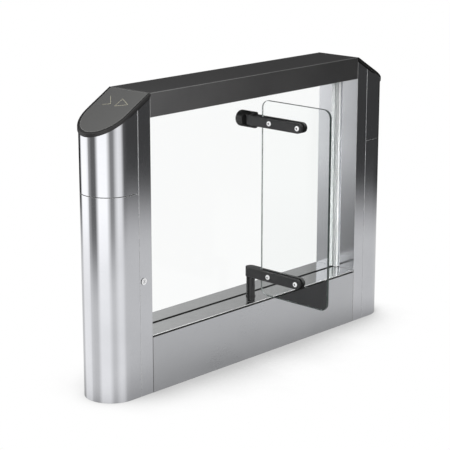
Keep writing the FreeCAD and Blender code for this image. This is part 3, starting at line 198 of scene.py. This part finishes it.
# Surfaces, one for each material slot
ROLLED = (2, 2, 90)
MATERIALS = {
    "polished_sheet": finish(
        "polished_sheet", ((0.665, 0.672, 0.70), (0.745, 0.752, 0.782)), (0.09, 0.12), 1.0,
        grain=24, stretch=ROLLED, depth=1.5 * MICRON, brushed=0.75),
    "satin_sheet": finish(
        "satin_sheet", ((0.625, 0.634, 0.655), (0.685, 0.694, 0.716)), (0.26, 0.34), 1.0,
        grain=24, stretch=ROLLED, depth=3 * MICRON),
    "dark_rail": finish(
        "dark_rail", ((0.051, 0.051, 0.052), (0.068, 0.067, 0.067)), (0.36, 0.48),
        grain=1400, depth=20 * MICRON, specular=0.01),
    "cap_black": finish(
        "cap_black", ((0.012, 0.012, 0.012), (0.020, 0.019, 0.019)), (0.34, 0.45),
        grain=1600, depth=30 * MICRON, specular=0.3),
    "cap_grey": finish(
        "cap_grey", ((0.048, 0.048, 0.0465), (0.060, 0.060, 0.0582)), (0.30, 0.40),
        grain=1600, depth=10 * MICRON, specular=0.3),
    "arm_black": finish(
        "arm_black", ((0.022, 0.022, 0.023), (0.030, 0.030, 0.031)), (0.40, 0.52),
        grain=1800, depth=40 * MICRON, specular=0.35),
    "leg_black": finish(
        "leg_black", ((0.008, 0.008, 0.0085), (0.013, 0.013, 0.0135)), (0.18, 0.26),
        grain=1800, depth=40 * MICRON),
    "bright_steel": finish("bright_steel", ((0.80, 0.80, 0.81), (0.88, 0.88, 0.89)), (0.16, 0.26), 1.0),
    "plated_steel": finish(
        "plated_steel", ((0.56, 0.57, 0.59), (0.66, 0.66, 0.64)), (0.34, 0.46), 1.0, mottle=30),
    "machined_steel": finish("machined_steel", ((0.50, 0.50, 0.51), (0.60, 0.60, 0.61)), (0.25, 0.36), 1.0),
    "channel_aluminium": finish(
        "channel_aluminium", ((0.66, 0.66, 0.67), (0.76, 0.76, 0.77)), (0.32, 0.42), 1.0),
    "bush_bronze": finish("bush_bronze", ((0.60, 0.44, 0.22), (0.70, 0.54, 0.32)), (0.28, 0.38), 1.0),
    "black_rubber": finish(
        "black_rubber", ((0.012, 0.012, 0.012), (0.022, 0.022, 0.022)), (0.60, 0.74), depth=30 * MICRON),
    "grey_seal": finish("grey_seal", ((0.38, 0.385, 0.39), (0.45, 0.455, 0.46)), (0.34, 0.46)),
    "board_green": finish("board_green", ((0.02, 0.14, 0.07), (0.04, 0.20, 0.10)), (0.30, 0.42), mottle=60),
    "standoff_brass": finish("standoff_brass", ((0.66, 0.50, 0.22), (0.76, 0.62, 0.34)), (0.24, 0.34), 1.0),
    "motor_can": finish(
        "motor_can", ((0.09, 0.09, 0.10), (0.13, 0.13, 0.14)), (0.36, 0.48), depth=30 * MICRON),
    "supply_case": finish("supply_case", ((0.54, 0.55, 0.56), (0.64, 0.65, 0.66)), (0.34, 0.46), 1.0),
    "clear_glass": glass("clear_glass", (0.985, 0.994, 0.990), (0.0, 0.01), (0.95, 0.97, 0.965)),
}

# Looks of edges, borders, lips, screws and signs
GLASS_EDGE = finish("glass_edge", ((0.030, 0.042, 0.040), (0.055, 0.075, 0.070)), (0.22, 0.34), mottle=40)
# Painted light: a lighter copy of the glass edge for the edges that face the rear
GLASS_EDGE_PAINTED_LIGHT = finish(
    "glass_edge_painted_light", ((0.18, 0.195, 0.19), (0.25, 0.27, 0.265)), (0.22, 0.34), mottle=40)
# Painted shade: the darkest black, on the cap panels' borders and the strips under the caps
PAINTED_RIM_SHADE = finish(
    "painted_rim_shade", ((0.005, 0.005, 0.005), (0.009, 0.009, 0.009)), (0.34, 0.45),
    grain=1600, depth=30 * MICRON, specular=0.2)
# Painted highlight: a lighter copy of the rail colour on its rounded edges
RAIL_EDGE_PAINTED_HIGHLIGHT = finish("rail_edge_painted_highlight", ((0.09, 0.09, 0.09), (0.15, 0.15, 0.147)), (0.30, 0.42), mottle=25)
# Painted highlight: the pale line round the cap panels
CAP_LINE_PAINTED_HIGHLIGHT = finish("cap_line_painted_highlight", ((0.16, 0.16, 0.155), (0.26, 0.26, 0.25)), (0.28, 0.40), mottle=25)
ARM_EDGE = finish("arm_edge", ((0.010, 0.010, 0.010), (0.03, 0.03, 0.03)), (0.34, 0.46), mottle=60)
# Painted highlight: the rounded sheet edges are a lighter steel than the sheet
SHEET_EDGE_PAINTED_HIGHLIGHT = finish("sheet_edge_painted_highlight", ((0.78, 0.785, 0.79), (0.86, 0.865, 0.87)), (0.22, 0.30), 1.0, mottle=20)
# Painted highlight: near-white rounding along the sill's outer edge
SILL_EDGE_PAINTED_HIGHLIGHT = finish("sill_edge_painted_highlight", ((0.80, 0.805, 0.81), (0.90, 0.905, 0.91)), (0.22, 0.30), 0.4, mottle=20)
SILL_POLISH = finish(
    "sill_polish", ((0.67, 0.675, 0.68), (0.75, 0.755, 0.76)), (0.07, 0.11), 1.0, grain=24, stretch=ROLLED)
# Painted highlight and painted light: near-white lips and a lighter back, as copies of the grey seal
PAINTED_HIGHLIGHT_LIP = finish("seal_lip", ((0.95, 0.96, 0.96), (0.99, 0.995, 0.995)), (0.34, 0.46))
SEAL_BACK_PAINTED_LIGHT = finish("seal_back_painted_light", ((0.66, 0.665, 0.67), (0.74, 0.745, 0.75)), (0.34, 0.46))
# Painted shade: near black on the panel edges and under the sill edges, standing for the gaps between them
PAINTED_GAP_SHADE = finish("painted_gap_shade", ((0.018, 0.018, 0.018), (0.045, 0.045, 0.045)), (0.5, 0.6), mottle=60)
SCREW_BRIGHT = finish(
    "screw_bright", ((0.88, 0.88, 0.89), (0.95, 0.95, 0.96)), (0.28, 0.38), 0.4, mottle=120)
SOCKET_SHADE = finish(
    "socket_shade", ((0.010, 0.010, 0.011), (0.030, 0.030, 0.032)), (0.35, 0.50), mottle=200)
SIGN_TAN = finish("sign_tan", ((0.34, 0.32, 0.24), (0.42, 0.40, 0.31)), (0.40, 0.50), mottle=80)
HINGE_BLACK = finish(
    "hinge_black", ((0.010, 0.010, 0.010), (0.015, 0.015, 0.015)), (0.26, 0.36),
    grain=1800, depth=30 * MICRON)

# Nodes that look other than their material slot
NODE_LOOKS = {
    "front_sill_top": SILL_POLISH, "back_sill_top": SILL_POLISH,
    "hinge_body": HINGE_BLACK, "hinge_seat": HINGE_BLACK,
    "upper_arm_cheek": HINGE_BLACK, "lower_arm_cheek": HINGE_BLACK,
}


def look_of(node):
    """The node's own look, or the one of its material slot."""
    return NODE_LOOKS.get(node, MATERIALS[NODE_SLOT[node]])


def dress_nodes():
    """Gives every solid its look."""
    for name, node in nodes.items():
        for index in range(len(node.material_slots)):
            node.material_slots[index].material = look_of(name)


# Mesh building blocks
WELD = 0.002 * MM
FLAT = math.radians(0.6)
CREASE = math.radians(28)
SHADE_CREASE = math.radians(50)
ROUND_PROFILE = 0.5


def piece(name, shape, looks, body, slot, *stands_for):
    """A mesh that rides on a body, shaded evenly over its rounded edges."""
    mesh = bpy.data.meshes.new(name)
    for face in shape.faces:
        face.smooth = True
    shape.to_mesh(mesh)
    shape.free()
    if "custom_normal" in mesh.attributes:
        mesh.attributes.remove(mesh.attributes["custom_normal"])
    mesh.set_sharp_from_angle(angle=SHADE_CREASE)
    for look in looks:
        mesh.materials.append(look)
    made = bpy.data.objects.new(name, mesh)
    bpy.context.scene.collection.objects.link(made)
    shading = made.modifiers.new("even_shading", "WEIGHTED_NORMAL")
    shading.keep_sharp = True
    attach(made, body)
    if stands_for:
        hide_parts(*stands_for)


def replacement(node, ending, shape, looks):
    """A mesh in the place of a node, on the node's body."""
    piece(node + ending, shape, looks, NODE_BODY[node], NODE_SLOT[node], node)


def solid_of(node):
    """The node's solid with one face for each flat stretch."""
    shape = bmesh.new()
    shape.from_mesh(nodes[node].data)
    bmesh.ops.remove_doubles(shape, verts=shape.verts, dist=WELD)
    bmesh.ops.dissolve_limit(shape, angle_limit=FLAT, verts=shape.verts, edges=shape.edges)
    for face in shape.faces:
        face.material_index = 0
    return shape


def round_edges(shape, width, steps, wanted=lambda edge: True):
    """Rounds every sharp edge that is wanted; the rounded stretches take the second look."""
    sharp = [edge for edge in shape.edges
             if edge.is_manifold and edge.calc_face_angle() > CREASE and wanted(edge)]
    bmesh.ops.bevel(shape, geom=sharp, offset=width, offset_type="OFFSET", segments=steps,
                    profile=ROUND_PROFILE, affect="EDGES", clamp_overlap=False, material=1)


def prism(shape, first, second):
    """A closed block between two outlines with as many corners."""
    low = [shape.verts.new(corner) for corner in first]
    high = [shape.verts.new(corner) for corner in second]
    shape.faces.new(list(reversed(low)))
    shape.faces.new(high)
    for step in range(len(low)):
        after = (step + 1) % len(low)
        shape.faces.new((low[step], low[after], high[after], high[step]))


def lathe(shape, rings, sides, place, second_look_from):
    """A closed turned form: rings of (distance along the axis, radius at an angle), capped at both ends."""
    loops = []
    for along, radius in rings:
        loop = []
        for step in range(sides):
            angle = math.tau * step / sides
            reach = radius(angle)
            spot = Vector((reach * math.cos(angle), reach * math.sin(angle), along))
            loop.append(shape.verts.new(place @ spot))
        loops.append(loop)
    for number, (lower, upper) in enumerate(zip(loops, loops[1:])):
        for step in range(sides):
            after = (step + 1) % sides
            side = shape.faces.new((lower[step], lower[after], upper[after], upper[step]))
            side.material_index = int(number >= second_look_from)
    shape.faces.new(list(reversed(loops[0])))
    shape.faces.new(loops[-1]).material_index = 1


def circle(radius):
    """The same radius all round."""
    return lambda angle: radius


def hexagon(across_flats):
    """The radius of a hexagon at an angle."""
    sector = math.pi / 3
    return lambda angle: across_flats / 2 / math.cos((angle % sector) - sector / 2)


# Broken edges of sheets, rail, caps and arms, some in a painted highlight or painted shade: nodes, width of
# the edge, its look if not the node's own
EDGE_STEPS = 2
COVERS = ("left_lower_cover", "right_lower_cover", "left_upper_cover", "right_upper_cover")
BROKEN_EDGES = (
    (("left_upright", "right_upright"), 0.6 * MM, SHEET_EDGE_PAINTED_HIGHLIGHT),
    (COVERS, 0.6 * MM, SHEET_EDGE_PAINTED_HIGHLIGHT),
    # Panel edges in painted shade for the gaps round the panels
    (("front_panel", "back_panel"), 0.8 * MM, PAINTED_GAP_SHADE),
    (("left_cap_housing", "right_cap_housing"), 0.5 * MM, None),
    (("top_rail",), 2.0 * MM, RAIL_EDGE_PAINTED_HIGHLIGHT),
    (("upper_arm", "upper_arm_cheek", "lower_arm", "lower_arm_cheek"), 1.2 * MM, ARM_EDGE),
    (("hinge_body",), 1.0 * MM, ARM_EDGE),
    (("wing_leg", "pivot_collar"), 0.6 * MM, None),
    (("arm_sleeve_nuts",), 0.8 * MM, None),
)


def rounded(node, width, edge_look):
    """A copy of a node with its sharp edges broken, in the node's place."""
    shape = solid_of(node)
    round_edges(shape, width, EDGE_STEPS)
    replacement(node, "_rounded", shape, (look_of(node), edge_look or look_of(node)))


def broken_edges():
    """Breaks the edges of each group of nodes."""
    for group, width, edge_look in BROKEN_EDGES:
        for node in group:
            rounded(node, width, edge_look)


# Sill sheets, with a painted highlight on the outer edge over painted shade in the gap below it
SILL_ROUNDING = 2.2 * MM
SILL_STEPS = 4
OUTER_SIDE = 50 * MM
EDGE_BAND = 85 * MM
GAP_SHADE_FACING = 0.25


def sill(node):
    """A flat sheet with its outer long edge rounded; the rounding takes a painted highlight and its lower
    part painted shade.
    """
    shape = solid_of(node)
    round_edges(shape, SILL_ROUNDING, SILL_STEPS,
                lambda edge: all(abs(vert.co.y) > OUTER_SIDE for vert in edge.verts))
    for face in shape.faces:
        if abs(face.calc_center_median().y) > EDGE_BAND:
            face.material_index = 2 if face.normal.z < GAP_SHADE_FACING else 1
    replacement(node, "_edged", shape, (look_of(node), SILL_EDGE_PAINTED_HIGHLIGHT, PAINTED_GAP_SHADE))


# Cap panels, with a black border of painted shade that falls away to the sides
BORDER_WIDTH = 8.0 * MM
BORDER_FALL = 2.0 * MM
BORDER_LINE = 0.8 * MM
TOP_MARGIN = 0.2 * MM


def slanted_face(shape):
    """The large face that slants up."""
    return max(shape.faces, key=lambda face: face.calc_area() * max(face.normal.z, 0))


def inset(shape, face, width):
    """A ring of faces inside a face's edge; the face itself shrinks."""
    return bmesh.ops.inset_region(shape, faces=[face], thickness=width, use_even_offset=True)["faces"]


def cap_panel(node):
    """A slanted panel inside a pale line of painted highlight and a black border of painted shade, which
    runs along its sides and its end.
    """
    shape = solid_of(node)
    top = slanted_face(shape)
    normal = top.normal.copy()
    uphill = (Vector((0, 0, 1)) - normal * normal.z).normalized()
    border = inset(shape, top, BORDER_WIDTH)
    crest = max(vert.co.z for vert in top.verts)
    for vert in top.verts:
        if crest - vert.co.z < WELD:
            vert.co += uphill * (BORDER_WIDTH - TOP_MARGIN)
    rim = {vert for face in border for vert in face.verts} - set(top.verts)
    for vert in rim:
        vert.co -= normal * BORDER_FALL
    line = inset(shape, top, BORDER_LINE)
    for face in shape.faces:
        face.material_index = 2
    for face in line:
        face.material_index = 1
    top.material_index = 0
    replacement(node, "_bordered", shape, (look_of(node), CAP_LINE_PAINTED_HIGHLIGHT, PAINTED_RIM_SHADE))


# Black strips of painted shade under the straight sides of the caps, from the upright's inner end along the
# cap's slope
CAP_SLOPE = math.tan(math.radians(30.5))
SHADE_STRIP_RISE = 0.5 * MM
SHADE_STRIP_DROP = 6.5 * MM
SHADE_STRIP_LENGTHS = (79 * MM, 107 * MM)
SHADE_STRIP_PROUD = 0.3 * MM


def cap_shade_strip(side, name):
    """A thin strip of painted shade on each side of a post, just below its cap, that runs out where the post
    turns round.
    """
    upright_low, upright_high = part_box("right_upright")
    height = upright_high.z + SHADE_STRIP_RISE
    lower_length, upper_length = SHADE_STRIP_LENGTHS
    outline = ((0, 0), (0, SHADE_STRIP_DROP), (lower_length, SHADE_STRIP_DROP), (upper_length, 0))
    shape = bmesh.new()
    for face_side in (-1, 1):
        rings = []
        for across in (upright_high.y - SHADE_STRIP_PROUD, upright_high.y + SHADE_STRIP_PROUD):
            rings.append([(side * (upright_low.x + along), face_side * across,
                           height - along * CAP_SLOPE - drop) for along, drop in outline])
        prism(shape, *rings)
    bmesh.ops.recalc_face_normals(shape, faces=shape.faces)
    piece(name, shape, (PAINTED_RIM_SHADE,), "cabinet", "cap_black")


# Glass with ground edges
ARRIS = 1.0 * MM
ARRIS_STEPS = 1
BROAD_FACING = 0.99
REAR_FACING = 0.2
X_AXIS = 0
Y_AXIS = 1


def pane(node, axis, edge_look, rear_edge_look):
    """A sheet of glass across an axis, with a small arris; ground edges to the rear have their own look,
    which on the leaf is lighter: painted light from behind.
    """
    shape = solid_of(node)
    round_edges(shape, ARRIS, ARRIS_STEPS)
    for face in shape.faces:
        if abs(face.normal[axis]) < BROAD_FACING:
            face.material_index = 2 if face.normal.y > REAR_FACING else 1
    replacement(node, "_glass", shape, (look_of(node), edge_look, rear_edge_look))


# Seals at the pane's ends, with a painted highlight on the lips and painted light on the sides behind the
# glass
SEAL_ROUNDING = 3.0 * MM
SEAL_STEPS = 4
LIP_REACH = 20 * MM
LIP_FACING = 0.3


def side_seals(node):
    """Grey strips with pale lips of painted highlight on both sides of the glass, round on the outside;
    their sides behind the glass are painted lighter.
    """
    glass_front, glass_back = (corner.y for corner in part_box("fixed_pane"))
    middle = (glass_front + glass_back) / 2
    shape = solid_of(node)
    round_edges(shape, SEAL_ROUNDING, SEAL_STEPS,
                lambda edge: all(abs(vert.co.y - middle) > LIP_REACH for vert in edge.verts))
    for face in shape.faces:
        face.material_index = int(abs(face.normal.y) > LIP_FACING)
        if not face.material_index and face.calc_center_median().y > glass_back:
            face.material_index = 2
    replacement(node, "_lipped", shape, (look_of(node), PAINTED_HIGHLIGHT_LIP, SEAL_BACK_PAINTED_LIGHT))


# Cover lock, with a bright face, a dark rim and a dark key slot
LOCK_ROUNDING = 0.4 * MM
LOCK_STEPS = 1
LOCK_RECESS = 0.5 * MM
FRONT_FACING = -0.9


def lock_part(node):
    """A part of the lock whose front is bright; its sides and what lies behind the front are in shade."""
    shape = solid_of(node)
    front = min(vert.co.y for vert in shape.verts)
    round_edges(shape, LOCK_ROUNDING, LOCK_STEPS)
    for face in shape.faces:
        shown = face.normal.y < FRONT_FACING and face.calc_center_median().y < front + LOCK_RECESS
        face.material_index = 0 if shown else 1
    replacement(node, "_faced", shape, (SCREW_BRIGHT, SOCKET_SHADE))


# Arm screws
SCREW_SIDES = 48
SCREW_RIM = 3.2 * MM
SCREW_HEIGHT = 4.0 * MM
SCREW_WALL = 1.4 * MM
SCREW_SHANK = 4.0 * MM
SOCKET_WIDTH = 6.0 * MM
SOCKET_DEPTH = 2.5 * MM
SOCKET_RINGS = 2
DOME_STEPS = 5
HEAD_TURN = math.radians(-90)


def islands(node):
    """Lowest and highest corner of each separate solid in a node."""
    shape = solid_of(node)
    left = set(shape.verts)
    found = []
    while left:
        reached = {left.pop()}
        newest = set(reached)
        while newest:
            newest = {edge.other_vert(vert) for vert in newest for edge in vert.link_edges} & left
            left -= newest
            reached |= newest
        corners = [vert.co.copy() for vert in reached]
        low = Vector(min(corner[axis] for corner in corners) for axis in range(3))
        high = Vector(max(corner[axis] for corner in corners) for axis in range(3))
        found.append((low, high))
    shape.free()
    return found


def screw_rings(length, head):
    """Shank, domed head and hexagon socket of one screw, from the shank's end to the socket's floor."""
    rings = [(SCREW_HEIGHT - length, circle(SCREW_SHANK)), (0, circle(SCREW_SHANK)), (0, circle(head))]
    for step in range(DOME_STEPS + 1):
        turn = math.pi / 2 * step / DOME_STEPS
        radius = head - SCREW_RIM * (1 - math.cos(turn))
        rings.append((SCREW_WALL + (SCREW_HEIGHT - SCREW_WALL) * math.sin(turn), circle(radius)))
    socket = hexagon(SOCKET_WIDTH)
    return rings + [(SCREW_HEIGHT, socket), (SCREW_HEIGHT - SOCKET_DEPTH, socket)]


def arm_screws():
    """Four domed socket screws, heads on the near side of the arms."""
    shape = bmesh.new()
    for low, high in islands("arm_screws"):
        middle = (low + high) / 2
        seat = Vector((low.x + SCREW_HEIGHT, middle.y, middle.z))
        place = Matrix.Translation(seat) @ Matrix.Rotation(HEAD_TURN, 4, "Y")
        rings = screw_rings(high.x - low.x, (high.z - low.z) / 2)
        lathe(shape, rings, SCREW_SIDES, place, second_look_from=len(rings) - SOCKET_RINGS)
    bmesh.ops.recalc_face_normals(shape, faces=shape.faces)
    replacement("arm_screws", "_domed", shape, (SCREW_BRIGHT, SOCKET_SHADE))


# Signs on the slanted cap panels, as (x, y) in millimetres on the near cap
SIGN_LINE = 1.5 * MM
SIGN_PROUD = 0.15 * MM
SIGN_STROKES = (
    ((-593, -6), (-561, -9), (-579, -52), (-593, -6)),
    ((-557, 51), (-587, 19), (-595, 50)),
)


def panel_plane(node):
    """A point and the normal of a cap panel's slanted face."""
    shape = solid_of(node)
    top = slanted_face(shape)
    point, normal = top.verts[0].co.copy(), top.normal.copy()
    shape.free()
    return point, normal


def on_plane(x, y, point, normal):
    """The spot of a plane right above or below a place."""
    fall = (x - point.x) * normal.x + (y - point.y) * normal.y
    return Vector((x, y, point.z - fall / normal.z))


def cap_signs(side, node):
    """An arrow head and an angle in thin tan lines; the far cap has them turned about."""
    point, normal = panel_plane(node)
    shape = bmesh.new()
    for stroke in SIGN_STROKES:
        spots = [on_plane(side * -x * MM, side * -y * MM, point, normal) for x, y in stroke]
        for start, end in zip(spots, spots[1:]):
            along = (end - start).normalized()
            wide = normal.cross(along) * SIGN_LINE / 2
            reach = along * SIGN_LINE / 2
            outline = (start - reach - wide, end + reach - wide, end + reach + wide, start - reach + wide)
            low = [corner - normal * SIGN_PROUD for corner in outline]
            high = [corner + normal * SIGN_PROUD for corner in outline]
            prism(shape, low, high)
    bmesh.ops.recalc_face_normals(shape, faces=shape.faces)
    piece(node.replace("fascia", "signs"), shape, (SIGN_TAN,), "cabinet", NODE_SLOT[node])


# Studio: brightness of the walls that polished faces mirror, as (compass direction in degrees, level)
WHITE = (1, 1, 1, 1)
PLAIN_LIGHT = (0.52, 0.22)
CEILING = (math.sin(math.radians(4)), math.sin(math.radians(12)))
SOFTBOX = (math.sin(math.radians(20)), math.sin(math.radians(45)))
OVERHEAD = 1.3
FULL_TURN = 360
RAMP_MIDDLE = 0.5
WALLS = (
    (0, 0.04), (43, 0.03), (86, 0.03), (99, 1.35), (130, 1.35), (139.6, 1.08), (140.4, 0.92), (141.2, 0.50),
    (143, 0.46), (158, 0.15), (173, 0.15), (188, 1.35), (220, 1.35), (237, 0.28), (247, 0.28), (258, 0.82),
    (267, 1.08), (280, 0.95), (293, 0.12), (306, 0.07), (322, 0.052),
)
UPPER_WALLS = (
    (0, 0.24), (36, 0.24), (47, 0.56), (95, 0.56), (120, 1.3), (140.6, 1.3), (140.8, 0.05), (144, 0.05),
    (150, 0.24), (180, 0.24),
)


def surround(tree, turn, levels):
    """Light and dark stretches of wall by compass direction."""
    turns = math_node(tree, "DIVIDE", turn, math.tau)
    share = math_node(tree, "FRACT", math_node(tree, "ADD", turns, 1.0))
    walls = add(tree, "ValToRGB", Fac=share)
    ramp = walls.color_ramp
    while len(ramp.elements) < len(levels):
        ramp.elements.new(RAMP_MIDDLE)
    for element, (angle, level) in zip(ramp.elements, levels):
        element.position = angle / FULL_TURN
        element.color = (level, level, level, 1)
    return walls.outputs["Color"]


def mirrored_ray(tree, path):
    """One for a ray that a polished face has sent on, until it meets a matt face."""
    bounced = math_node(tree, "MINIMUM", path.outputs["Glossy Depth"], 1.0)
    kept = math_node(tree, "SUBTRACT", 1.0, path.outputs["Is Diffuse Ray"])
    return math_node(tree, "MULTIPLY", bounced, kept)


def straight_ray(tree, path):
    """One for a ray from the lens, also through glass."""
    return math_node(tree, "MAXIMUM", path.outputs["Is Camera Ray"], path.outputs["Is Transmission Ray"])


def studio():
    """White to the lens and through glass; polished faces mirror a room with pale and dark walls."""
    world = bpy.data.worlds.new("studio")
    bpy.context.scene.world = world
    world.use_nodes = True
    world.cycles.sampling_method = "NONE"
    tree = world.node_tree
    path = add(tree, "LightPath")
    parts = add(tree, "SeparateXYZ", Vector=add(tree, "TexCoord").outputs["Generated"])
    over = spread(tree, parts.outputs["Z"], *CEILING, 0.0, 1.0, smooth=True)
    turn = math_node(tree, "ARCTAN2", parts.outputs["Y"], parts.outputs["X"])
    overhead = spread(tree, parts.outputs["Z"], *SOFTBOX, 0.0, 1.0, smooth=True)
    above = blend(tree, overhead, surround(tree, turn, UPPER_WALLS), OVERHEAD)
    mirrored = blend(tree, over, surround(tree, turn, WALLS), above)
    mirror = add(tree, "Background", Color=WHITE, Strength=mirrored)
    soft = spread(tree, parts.outputs["Z"], 0.0, 1.0, *PLAIN_LIGHT)
    plain = add(tree, "Background", Color=WHITE, Strength=soft)
    backdrop = add(tree, "Background", Color=WHITE, Strength=1.0)
    direct = add(tree, "MixShader", i0=straight_ray(tree, path), i1=plain.outputs[0], i2=backdrop.outputs[0])
    shown = add(tree, "MixShader", i0=mirrored_ray(tree, path), i1=direct.outputs[0], i2=mirror.outputs[0])
    tree.links.new(shown.outputs[0], tree.nodes["World Output"].inputs["Surface"])


# Floor, with the object's shadow and a darker passage of painted shade on both sides of the glass
FLOOR_SIDE = 80
FLOOR_GREY = (0.8, 0.8, 0.8, 1)
FLOOR_EDGE = (1.6, 3.0)
FLOOR_SHEEN = 0.3
FLOOR_LEVEL = 0.95
# Painted shade: levels of the floor where polished faces mirror it through the glass
PASSAGE_FRONT = 0.045
BEHIND_GLASS = 0.2
FRONT_FLOOR = -0.15
SHADOW_DEPTH = 0.55
SHADOW_SAMPLES = 16
# Reach of the shadow, share of open room where it is full and where it ends, and fade
STRAIGHT_SHADOW = (0.45, (0.5, 0.80), 1.05)
MIRRORED_SHADOW = (0.45, (0.5, 0.93), 1.7)
# Two places on the floor and the value at each
PASSAGE_BACK = (0.75, 1.8, 0.06, 0.54)
LIT_END = (-0.80, -0.50, 0.75, 0.0)


def contact_shadow(tree, reach, opening, fade):
    """Brightness of the floor near the object, from how much of the room the spot sees."""
    open_sky = add(tree, "AmbientOcclusion", {"samples": SHADOW_SAMPLES}, Distance=reach).outputs["AO"]
    faded = math_node(tree, "POWER", spread(tree, open_sky, *opening, 0.0, 1.0), fade)
    return spread(tree, faded, 0.0, 1.0, SHADOW_DEPTH, 1.0)


def floor_straight(tree, path, along):
    """White to the lens, with a shadow that thins out at the near end; matt grey to other light."""
    shade = blend(tree, spread(tree, along, *LIT_END), contact_shadow(tree, *STRAIGHT_SHADOW), 1.0)
    white = add(tree, "Emission", Color=WHITE, Strength=shade)
    matt = add(tree, "BsdfDiffuse", Color=FLOOR_GREY)
    return add(tree, "MixShader", i0=straight_ray(tree, path), i1=matt.outputs[0], i2=white.outputs[0])


def floor_mirrored(tree, path, place, across):
    """A round pale floor with the room beyond it; what is mirrored through glass is darker, with painted
    shade.
    """
    in_front = math_node(tree, "LESS_THAN", across, FRONT_FLOOR)
    in_glass = math_node(tree, "MINIMUM", path.outputs["Transmission Depth"], 1.0)
    behind_glass = math_node(tree, "SUBTRACT", in_glass, path.outputs["Is Transmission Ray"])
    extra = math_node(tree, "MULTIPLY", behind_glass, BEHIND_GLASS)
    back = math_node(tree, "ADD", spread(tree, across, *PASSAGE_BACK), extra)
    passage = blend(tree, in_front, back, PASSAGE_FRONT)
    bare = blend(tree, in_glass, FLOOR_LEVEL, passage)
    level = math_node(tree, "MULTIPLY", bare, contact_shadow(tree, *MIRRORED_SHADOW))
    pale = add(tree, "Emission", Color=WHITE, Strength=level)
    distance = add(tree, "VectorMath", {"operation": "LENGTH"}, i0=place).outputs["Value"]
    beyond = spread(tree, distance, *FLOOR_EDGE, FLOOR_SHEEN, 1.0, smooth=True)
    closed = math_node(tree, "MULTIPLY", in_front, in_glass)
    opened = math_node(tree, "MULTIPLY", beyond, math_node(tree, "SUBTRACT", 1.0, closed))
    clear = add(tree, "BsdfTransparent", Color=WHITE)
    return add(tree, "MixShader", i0=opened, i1=pale.outputs[0], i2=clear.outputs[0])


def floor_look():
    """The floor as the lens sees it, and as polished faces mirror it."""
    made = bpy.data.materials.new("studio_floor")
    made.use_nodes = True
    tree = made.node_tree
    tree.nodes.remove(tree.nodes["Principled BSDF"])
    path = add(tree, "LightPath")
    place = add(tree, "NewGeometry").outputs["Position"]
    parts = add(tree, "SeparateXYZ", Vector=place)
    direct = floor_straight(tree, path, parts.outputs["X"])
    reflected = floor_mirrored(tree, path, place, parts.outputs["Y"])
    mix = add(tree, "MixShader", i0=mirrored_ray(tree, path), i1=direct.outputs[0], i2=reflected.outputs[0])
    tree.links.new(mix.outputs[0], tree.nodes["Material Output"].inputs["Surface"])
    return made


def floor():
    """A large pale sheet under the object."""
    half = FLOOR_SIDE / 2
    corners = [(-half, -half, 0), (half, -half, 0), (half, half, 0), (-half, half, 0)]
    mesh = bpy.data.meshes.new("studio_floor")
    mesh.from_pydata(corners, [], [list(range(len(corners)))])
    mesh.materials.append(floor_look())
    ground = bpy.data.objects.new("studio_floor", mesh)
    bpy.context.scene.collection.objects.link(ground)


# Lamp
LAMP_PLACE = Vector((-1.15, -0.8, 1.15))
LAMP_AIM = Vector((-0.2, 0, 0.6))
LAMP_SIDE = 0.7
LAMP_POWER = 18


def lamp():
    """A soft square light before the near end, which polished faces don't mirror."""
    light = bpy.data.lights.new("front_softbox", "AREA")
    light.shape = "SQUARE"
    light.size = LAMP_SIDE
    light.energy = LAMP_POWER
    made = bpy.data.objects.new("front_softbox", light)
    made.location = LAMP_PLACE
    made.rotation_mode = "QUATERNION"
    made.rotation_quaternion = (LAMP_AIM - LAMP_PLACE).to_track_quat("-Z", "Y")
    made.visible_glossy = False
    bpy.context.scene.collection.objects.link(made)


bpy.context.scene.view_settings.view_transform = "Standard"
camera()
studio()
floor()
lamp()
dress_nodes()
broken_edges()
sill("front_sill_top")
sill("back_sill_top")
cap_panel("left_cap_fascia")
cap_panel("right_cap_fascia")
cap_shade_strip(-1, "left_cap_shade_strip")
cap_shade_strip(1, "right_cap_shade_strip")
pane("leaf", X_AXIS, GLASS_EDGE, GLASS_EDGE_PAINTED_LIGHT)
# The fixed pane's edges take the pale lip look, a painted highlight
pane("fixed_pane", Y_AXIS, PAINTED_HIGHLIGHT_LIP, PAINTED_HIGHLIGHT_LIP)
side_seals("pane_side_seals")
lock_part("lock_housing")
lock_part("lock_plug")
arm_screws()
cap_signs(-1, "left_cap_fascia")
cap_signs(1, "right_cap_fascia")
